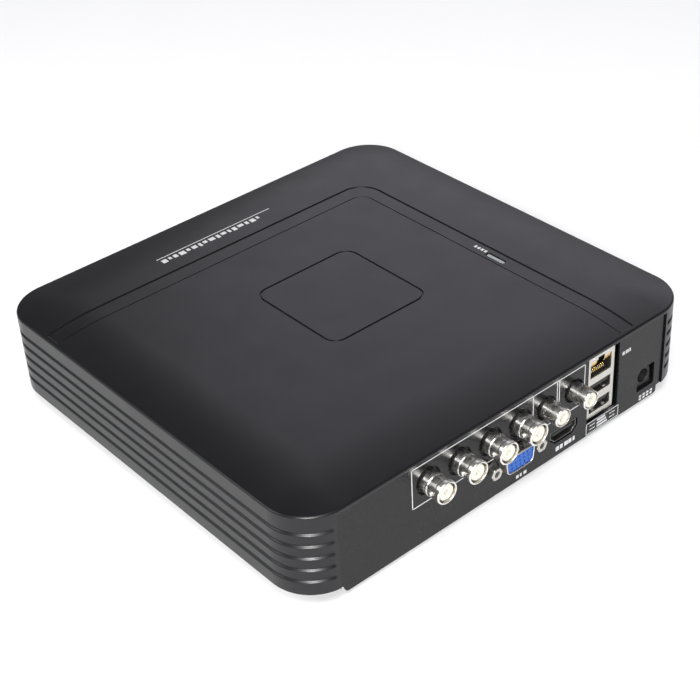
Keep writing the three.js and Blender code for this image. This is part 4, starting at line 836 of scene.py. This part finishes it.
marks = Surface()
LINE = 0.45
FRAME_LEFT, FRAME_RIGHT = 53.2, -41
FRAME_BOTTOM, FRAME_TOP = 20.9, 39.9
DIVIDER_BOTTOM, DIVIDER_TOP = 29, 39.6
ink_bar(marks, FRAME_LEFT, FRAME_RIGHT, FRAME_TOP - LINE, FRAME_TOP)
ink_bar(marks, FRAME_LEFT - LINE, FRAME_LEFT, FRAME_BOTTOM, FRAME_TOP)
ink_bar(marks, FRAME_RIGHT, FRAME_RIGHT + LINE, FRAME_BOTTOM, FRAME_TOP)
for x in (-11.4, -25, -26.2):
    ink_bar(marks, x, x + LINE, DIVIDER_BOTTOM, DIVIDER_TOP)
# The frame's lower line is broken where the monitor socket is.
for x0, x1 in ((FRAME_LEFT, 10.5), (-9.5, FRAME_RIGHT)):
    ink_bar(marks, x0, x1, FRAME_BOTTOM, FRAME_BOTTOM + LINE)
ink_words(marks, -2.2, 2.1, (1.5, 1.1, 1.7), 3.5, 5.1)
ink_words(marks, -25, 2.5, (2.0, 1.6, 2.3, 1.8, 1.2), 4.5, 6.6)
for bottom in (2.9, 4.4):
    ink_words(marks, -76, 2.3, (1.5, 1.5, 1.5, 1.5), bottom, bottom + 1)
ink_words(marks, -63.4, 1.05, (0.8, 0.5, 0.9, 0.6, 0.8), 32.5, 34.2)
# The small box under the tower, with two short lines at each end and three bars in its middle
ink_box(marks, NOTCH_RIGHT, -62.6, 2.5, 8.2, 0.35)
for x0, x1 in ((-45.2, -48.5), (-57.2, -60.6)):
    for bottom in (4.2, 6.1):
        ink_bar(marks, x0, x1, bottom, bottom + 0.4)
for row in range(3):
    ink_bar(marks, -49.6, -56 + row * 0.7, 3.5 + row * 1.5, 4.4 + row * 1.5)
piece("panel_marks", marks, "insulator_white", material=ink)


def roof_bar(surface, x0, x1, y0, y1):
    """A thin printed bar that follows the roof."""
    xs = np.linspace(x0, x1, max(2, int(abs(x1 - x0) / 3) + 2))
    ys = np.linspace(y0, y1, 3)
    rows = [[(x, y, float(roof_z(np.array(x), np.array(y))) + MARK_RISE) for x in xs] for y in ys]
    surface.grid(rows, False)


roof_marks = Surface()
roof_bar(roof_marks, -23.6, 39.6, -78.4, -77.9)
# Bars of uneven width and height run along the line, in place of the printed words.
x = 38.6
word_gap = 1.1
for i in range(17):
    width = (2.6, 1.4, 2.1, 3.0, 1.7)[i % 5]
    roof_bar(roof_marks, x - width, x, -76.4, (-73.6, -74.4, -74.0)[i % 3])
    x -= width + word_gap
for i in range(4):
    roof_bar(roof_marks, -67.5, -65.9, 12.2 + i * 2, 13.5 + i * 2)
piece("roof_marks", roof_marks, "insulator_white", material=ink)


# ---------------------------------------------------------------- jacks

for i, (x, _, z) in enumerate(video, 1):
    mouth = far_y(f"video_jack_{i}")
    barrel = [
        (VIDEO_BORE, JACK_BACK), (COLLAR_RADIUS, JACK_BACK), (COLLAR_RADIUS, mouth - 6.6),
        (VIDEO_NECK, mouth - 6.3), (VIDEO_NECK, mouth - 2.6), (VIDEO_LIP, mouth - 2.2),
        (VIDEO_LIP, mouth - 0.4), (4.6, mouth), (VIDEO_BORE, mouth - 0.1), (4.1, mouth - 1),
        (4.1, JACK_BACK),
    ]
    shell = lathe(barrel, radius=0.3)
    for side in (-1, 1):
        lug = lathe([(0.01, 5.4), (0.75, 5.4), (1.0, 5.15), (1.0, 4.2)], sides=24, radius=0.15)
        turned = [(side * p[1], p[0] + mouth - 4.4, p[2] * side) for p in lug.points]
        shell.add(turned, lug.faces)
    piece(f"video_jack_{i}_shell", shell, "nickel_plate", [f"video_jack_{i}"], at=(x, 0, z))
    filling = [
        (0.01, mouth - 5), (0.9, mouth - 5), (1.05, mouth - 1.0), (1.15, mouth - 0.75),
        (3.3, mouth - 0.7), (3.5, mouth - 1.1), (3.5, PANEL_FACE + 2), (3.8, PANEL_FACE + 1.8),
        (3.8, JACK_BACK + 0.5), (0.01, JACK_BACK + 0.5),
    ]
    core = lathe(filling, radius=0.15).flip()
    piece(f"video_jack_{i}_core", core, "insulator_white", [f"video_insulator_{i}"], at=(x, 0, z))

for i, (x, _, z) in enumerate(audio, 1):
    mouth = far_y(f"audio_jack_{i}")
    barrel = [
        (AUDIO_BORE, JACK_BACK), (COLLAR_RADIUS, JACK_BACK), (COLLAR_RADIUS, PANEL_FACE - 2.5),
        (AUDIO_NECK, PANEL_FACE - 2.45), (AUDIO_NECK, mouth - 0.45), (3.9, mouth), (3.6, mouth),
        (AUDIO_BORE, mouth - 0.5), (AUDIO_BORE, JACK_BACK),
    ]
    shell = lathe(barrel, radius=0.25)
    piece(f"audio_jack_{i}_shell", shell, "nickel_plate", [f"audio_jack_{i}"], at=(x, 0, z))
    filling = [
        (0.01, mouth - 8.2), (1.6, mouth - 8.2), (1.65, mouth - 0.7), (1.85, mouth - 0.2),
        (3.1, mouth - 0.2), (3.2, mouth - 0.6), (3.2, JACK_BACK + 0.5), (0.01, JACK_BACK + 0.5),
    ]
    core = lathe(filling, radius=0.2).flip()
    piece(f"audio_jack_{i}_core", core, "insulator_white", [f"audio_insulator_{i}"], at=(x, 0, z))


# ---------------------------------------------------------------- video monitor socket

vga_mouth = far_y("vga_shell")
body = vga_outline()
sleeve_profile = [
    (-0.5, PANEL_BACK - 1.2), (0.0, PANEL_BACK - 1.2), (0, vga_mouth - 0.3), (-0.25, vga_mouth),
    (-0.5, vga_mouth - 0.3), (-0.5, PANEL_BACK - 1.2),
]
sleeve = swept(body, sleeve_profile, radius=0.2)
flange_x = (VGA_AT[0] - VGA_FLANGE_X, VGA_AT[0] + VGA_FLANGE_X)
flange_z = (VGA_AT[1] - VGA_FLANGE_Z, VGA_AT[1] + VGA_FLANGE_Z)
flange = rectangle(*flange_x, *flange_z, 1.5)
flange_holes = [vga_outline(-0.45)]
flange_holes += [circle(x, VGA_AT[1], VGA_SCREW_HOLE, 24) for x in vga_screws]
sheet_piece(flange, flange_holes, PANEL_BACK - 0.3, PANEL_BACK - 1.1, 0.1, sleeve)
piece("vga_sleeve", sleeve, "nickel_plate", ["vga_shell"])

contacts = []
for row in (-1, 0, 1):
    for column in range(-2, 3):
        contact_x = VGA_AT[0] + column * VGA_COLUMN_PITCH + row * VGA_ROW_STEP
        contacts.append(circle(contact_x, VGA_AT[1] + row * VGA_ROW_PITCH, 0.52, 20))
insert = sheet_piece(vga_outline(-0.75), contacts, vga_mouth - 0.6, vga_mouth - 6, 0.15)
behind = (PANEL_FACE - 14, PANEL_BACK - 1.4)
brick((VGA_AT[0] - 14, VGA_AT[0] + 14), behind, (BOARD_TOP, VGA_AT[1] + 5.5), 0.3, insert)
piece("vga_contacts_insert", insert, "insert_blue", ["vga_insert"])

for side, name in ((-1, "left"), (1, "right")):
    tip = far_y(f"vga_jack_screw_{name}")
    x0 = VGA_AT[0] + side * VGA_SCREW_X
    turns = [math.radians(60 * k) for k in range(6)]
    hexagon = [(STANDOFF_RADIUS * math.cos(turn), STANDOFF_RADIUS * math.sin(turn)) for turn in turns]
    around = loop_polygon(hexagon, 0.25, 11)
    across = np.array(around)
    lengths = np.hypot(across[:, 0], across[:, 1])
    rows = []
    for limit, y in ((9, PANEL_FACE + 0.3), (9, tip - 0.45), (2.8, tip - 0.15), (2.5, tip), (1.6, tip)):
        scale = np.minimum(lengths, limit) / lengths
        rows.append([(px, y, pz) for px, pz in across * scale[:, None]])
    for k in range(26):
        reach = 1.42 - 0.09 * (1 - math.cos(k * math.pi / 2)) / 2
        rows.append([(px * reach / length, tip - 0.15 - k * 0.12, pz * reach / length)
                     for (px, pz), length in zip(around, lengths)])
    rows.append([(0.01 * px, tip - 3.3, 0.01 * pz) for px, pz in around])
    standoff = Surface()
    standoff.grid([row[::-1] for row in rows][::-1])
    shank = lathe([(1.5, PANEL_FACE + 0.4), (1.5, PANEL_FACE - 6), (0.01, PANEL_FACE - 6)], sides=24)
    standoff.add(shank.points, shank.faces)
    piece(f"vga_standoff_{name}", standoff, "screw_zinc", [f"vga_jack_screw_{name}"], at=(x0, 0, VGA_AT[1]))


# ---------------------------------------------------------------- digital video socket

hdmi_mouth = far_y("hdmi_shell")
tube_profile = [
    (-0.45, JACK_BACK + 1), (0, JACK_BACK + 1), (0, hdmi_mouth - 0.1), (-0.22, hdmi_mouth),
    (-0.45, hdmi_mouth - 0.1), (-0.45, JACK_BACK + 1),
]
tube = swept(hdmi_outline(), tube_profile, radius=0.12)
# The tube takes the darkened nickel, which is painted shade for its recessed mouth.
piece("hdmi_tube", tube, "nickel_plate", ["hdmi_shell"], painted_shade_nickel)
tongue_y = (JACK_BACK + 3, PANEL_FACE - 0.8)
tongue = brick((hdmi[0] - 5.9, hdmi[0] + 5.9), tongue_y, (hdmi[2] + 0.1, hdmi[2] + 1.3), 0.2)
capped(tongue, hdmi_outline(-0.5), JACK_BACK + 4)
piece("hdmi_tongue_skin", tongue, "insert_black", ["hdmi_tongue"])
strips = Surface()
for i in range(10):
    x0 = hdmi[0] + (i - 4.5) * STRIP_PITCH
    strip_y = (JACK_BACK + 5, PANEL_FACE - 1.3)
    brick((x0 - 0.2, x0 + 0.2), strip_y, (hdmi[2] + 0.02, hdmi[2] + 0.12), 0.03, strips)
piece("hdmi_strips", strips, "nickel_plate", material=gold)


# ---------------------------------------------------------------- network and USB tower

mouth_left, mouth_right = STACK_X - MOUTH_HALF, STACK_X + MOUTH_HALF
latch_left, latch_right = STACK_X - LATCH_HALF, STACK_X + LATCH_HALF
mouth_bottom, mouth_top = NETWORK_MOUTH
tower = rectangle(stack_low[0], stack_high[0], stack_low[2], stack_high[2], 0.5)
net_corners = [
    (mouth_left, mouth_bottom), (mouth_right, mouth_bottom), (mouth_right, mouth_top),
    (latch_right, mouth_top), (latch_right, LATCH_TOP), (latch_left, LATCH_TOP),
    (latch_left, mouth_top), (mouth_left, mouth_top),
]
net_loop = loop_polygon(net_corners, 0.25, 4)
usb_loops = [rectangle(mouth_left, mouth_right, low_z, high_z, 0.35) for low_z, high_z in USB_MOUTHS]
pipe_x = [STACK_X + side * LIGHT_PIPE_X for side in (-1, 1)]
light_holes = [circle(x, LIGHT_PIPE_Z, 0.5, 16) for x in pipe_x]
shield = sheet_piece(tower, [net_loop, *usb_loops, *light_holes], STACK_FACE, STACK_FACE - 0.7, 0.15)
shield_back = span("port_stack_shield")[0][1] - MIDDLE_Y
swept(tower, [(0, STACK_FACE - 0.15), (0, shield_back), (-0.7, shield_back)], shield)
capped(shield, tower, shield_back, -1)
piece("port_stack_skin", shield, "tin_shield", ["port_stack_shield"])

face = STACK_FACE - 1.0
inner = rectangle(stack_low[0] + 1, stack_high[0] - 1, stack_low[2], stack_high[2] - 1, 0.2)
block_piece = sheet_piece(inner, [net_loop, *usb_loops], face, face - 10, 0.1)
capped(block_piece, inner, face - 12)
for low_z, high_z in USB_MOUTHS:
    mid = (low_z + high_z) / 2 + USB_TONGUE_RISE
    brick((STACK_X - 5.6, STACK_X + 5.6), (face - 11, face), (mid - 0.95, mid + 0.95), 0.2, block_piece)
piece("port_stack_core", block_piece, "insert_black", ["port_stack_insert"])

# Sprung tabs at the network mouth's upper corners, its contact wires, and the tongues' contacts
tabs = Surface()
for side in (-1, 1):
    x0, x1 = STACK_X + side * 2.3, STACK_X + side * 5.9
    path = rounded([(98.5, 37.1), (98.5, 36.2), (98.0, 34.4), (97.3, 33.1), (96.2, 32.9)], 0.8)
    tab_x = np.linspace(min(x0, x1), max(x0, x1), 5)
    for thickness in (0, -0.22):
        rows = [[(x, y + thickness, z) for x in tab_x] for y, z in path]
        tabs.grid(rows if thickness else rows[::-1], False)
for i in range(8):
    x0 = STACK_X + (i - 3.5) * WIRE_PITCH
    wire = rounded([(86.5, 29.6), (90, 29.8), (95.5, 31.6), (96.6, 31.5), (97, 30.2)], 0.8)
    turns = [2 * math.pi * k / 8 for k in range(8)]
    rings = []
    for y, z in wire:
        rings.append([(x0 + 0.22 * math.cos(a), y, z + 0.22 * math.sin(a)) for a in turns])
    tabs.grid([row[::-1] for row in rings])
for low_z, high_z in USB_MOUTHS:
    mid = (low_z + high_z) / 2 + USB_TONGUE_RISE
    for i in range(4):
        x0 = STACK_X - 3.5 + i * USB_CONTACT_PITCH
        brick((x0 - 0.5, x0 + 0.5), (face - 9, face - 0.8), (mid - 1.05, mid - 0.9), 0.05, tabs)
piece("port_contacts", tabs, "nickel_plate", material=gold)

# Sprung fingers pressed from the shield into the USB mouths, and the two light pipes' ends
fingers = Surface()
for low_z, high_z in USB_MOUTHS:
    for x0 in (STACK_X - 3.2, STACK_X + 3.2):
        for z, lean in ((high_z, -1), (low_z, 1)):
            bends = ((98.4, 0.05), (97.6, 0.5), (95.5, 0.9), (92, 0.1))
            path = rounded([(y, z + reach * lean) for y, reach in bends], 0.9)
            rows = [[(x0 + step, y, h) for step in (-0.9, -0.3, 0.3, 0.9)] for y, h in path]
            fingers.grid(rows if lean == 1 else rows[::-1], False)
piece("port_stack_fingers", fingers, "tin_shield")
pipes = Surface()
end_profile = ((0.44, -1), (0.44, -0.05), (0.3, 0.06), (0.01, 0.08))
end = lathe([(r, STACK_FACE + offset) for r, offset in end_profile], sides=20, radius=0.1)
for x in pipe_x:
    pipes.add([(p[0] + x, p[1], p[2] + LIGHT_PIPE_Z) for p in end.points], end.faces)
piece("port_stack_lights", pipes, "led_white")


# ---------------------------------------------------------------- power socket, light bar, feet

power_face = far_y("power_jack_body")
barrel_left, barrel_right = power[0] - POWER_RADIUS, power[0] + POWER_RADIUS
barrel_top = power[2] + POWER_RADIUS
barrel_corners = [
    (barrel_left, BOARD_TOP), (barrel_right, BOARD_TOP),
    (barrel_right, barrel_top), (barrel_left, barrel_top),
]
barrel_outline = loop_polygon(barrel_corners, [0.3, 0.3, 4.2, 4.2], 12)
bore = circle(power[0], power[2], POWER_BORE)
barrel = sheet_piece(barrel_outline, [bore], power_face, power_face - 12.5, 0.3)
capped(barrel, circle(power[0], power[2], 3.3), power_face - 12)
piece("power_barrel", barrel, "insert_black", ["power_jack_body"])
pin_profile = ((2.9, 11.8), (1.05, 11.3), (1.05, 4.3), (0.65, 3.6), (0.01, 3.5))
pin = lathe([(r, power_face - depth) for r, depth in pin_profile], sides=32)
piece("power_pin", pin, "nickel_plate", ["power_jack_pin"], at=(power[0], 0, power[2]))

guide_low, guide_high = span("light_guide")
guide = Surface()
top = guide_high[2]
half_x = GUIDE[0] - guide_low[0]
half_y = (guide_high[1] - guide_low[1]) / 2
loop = rectangle(GUIDE[0] - half_x, GUIDE[0] + half_x, GUIDE[1] - half_y, GUIDE[1] + half_y, 0.6)
rows = []
for growth, drop in ((-0.3, 0), (-0.1, 0.05), (0, 0.2), (0, 3.4)):
    rows.append([(px, py, top - drop) for px, py in grown(loop, growth)])
guide.grid([row[::-1] for row in rows][::-1])
points, faces = filled(grown(loop, -0.3), [])
guide.add([(px, py, top) for px, py in points], faces, [(0, 0, 1)] * len(points))
stalk = brick((GUIDE[0] - 0.9, GUIDE[0] + 0.9), (GUIDE[1] - 2, GUIDE[1] + 2), (guide_low[2], top - 3), 0.2)
guide.add(stalk.points, stalk.faces)
piece("light_bar", guide, "light_clear", ["light_guide"])

# Each foot has a hollow underneath, and a barbed stem that holds it in the tray.
foot_profile = [
    (0.01, 0.35), (5.6, 0.35), (5.9, 0.0), (7.3, 0.0), (7.75, 0.4), (8.0, 1.45), (7.6, 1.7),
    (2.4, 1.7), (2.4, 3.5), (3.4, 3.5), (2.0, 4.5), (0.01, 4.5),
]
for corner in ("front_left", "front_right", "rear_left", "rear_right"):
    x, y, _ = centre(f"foot_{corner}")
    pad = lathe(foot_profile, along="Z", radius=0.25)
    piece(f"foot_{corner}_pad", pad, "foot_rubber", [f"foot_{corner}"], at=(x, y, 0))


# ---------------------------------------------------------------- carried-over CAD nodes

for row in frame["record"]["subparts"]:
    held = frame["nodes"][row["node"]].data
    held.materials.clear()
    held.materials.append(LOOKS[row["material_slot"]])


# ---------------------------------------------------------------- floor, light and camera

pale = finish("pale_floor", (0.86, 0.86, 0.86), 0.75, grain=(1.5, 0.02), mottle=(60, 0.03), tint=0.01)
floor_mesh = bpy.data.meshes.new("floor")
reach = 4.0
floor_corners = [(-reach, -reach, 0), (reach, -reach, 0), (reach, reach, 0), (-reach, reach, 0)]
floor_mesh.from_pydata(floor_corners, [], [(0, 1, 2, 3)])
floor_mesh.materials.append(pale)
floor = bpy.data.objects.new("floor", floor_mesh)
bpy.context.scene.collection.objects.link(floor)


def softbox(name, place, target, size, watts, colour=(1, 1, 1)):
    light = bpy.data.lights.new(name, "AREA")
    light.shape = "RECTANGLE"
    light.size, light.size_y = size
    light.energy = watts
    light.color = colour
    made = bpy.data.objects.new(name, light)
    made.location = place
    made.rotation_euler = (Vector(target) - Vector(place)).to_track_quat("-Z", "Y").to_euler()
    bpy.context.scene.collection.objects.link(made)
    return made


softbox("overhead", (0.5, 0.7, 1.9), (0, 0, 0), (1.0, 1.0), 18)
softbox("key", (1.2, 1.3, 1.15), (0.05, 0.05, 0.02), (0.4, 0.4), 55)
softbox("far_panel", (-2.0, -1.34, 1.5), (0, 0, 0.1), (2.5, 1.55), 14.6, (0.92, 0.90, 1.0))
softbox("near_side", (1.5, -0.9, 1.3), (0.2, 0, 0), (1.0, 0.8), 14)
softbox("rear_side", (-0.3, 2.0, 0.5), (0, 0.05, 0.03), (1.6, 0.7), 0.8)

world = bpy.data.worlds.new("studio")
world.use_nodes = True
world.node_tree.nodes["Background"].inputs["Color"].default_value = (0.97, 0.98, 1.0, 1)
world.node_tree.nodes["Background"].inputs["Strength"].default_value = 0.18
bpy.context.scene.world = world
bpy.context.scene.view_settings.view_transform = "Standard"

camera_data = bpy.data.cameras.new("camera")
camera_data.lens = 79.76
camera_data.sensor_width = 36
camera = bpy.data.objects.new("camera", camera_data)
right = Vector((-0.75281059, 0.65647552, -0.04812598))
up = Vector((-0.40903352, -0.40926666, 0.81559327))
back = Vector((0.51572066, 0.63367239, 0.57662076))
eye = Vector((0.3423235, 0.4196472, 0.4015894))
camera.matrix_world = Matrix([(right[i], up[i], back[i], eye[i]) for i in range(3)] + [(0, 0, 0, 1)])
bpy.context.scene.collection.objects.link(camera)
bpy.context.scene.camera = camera
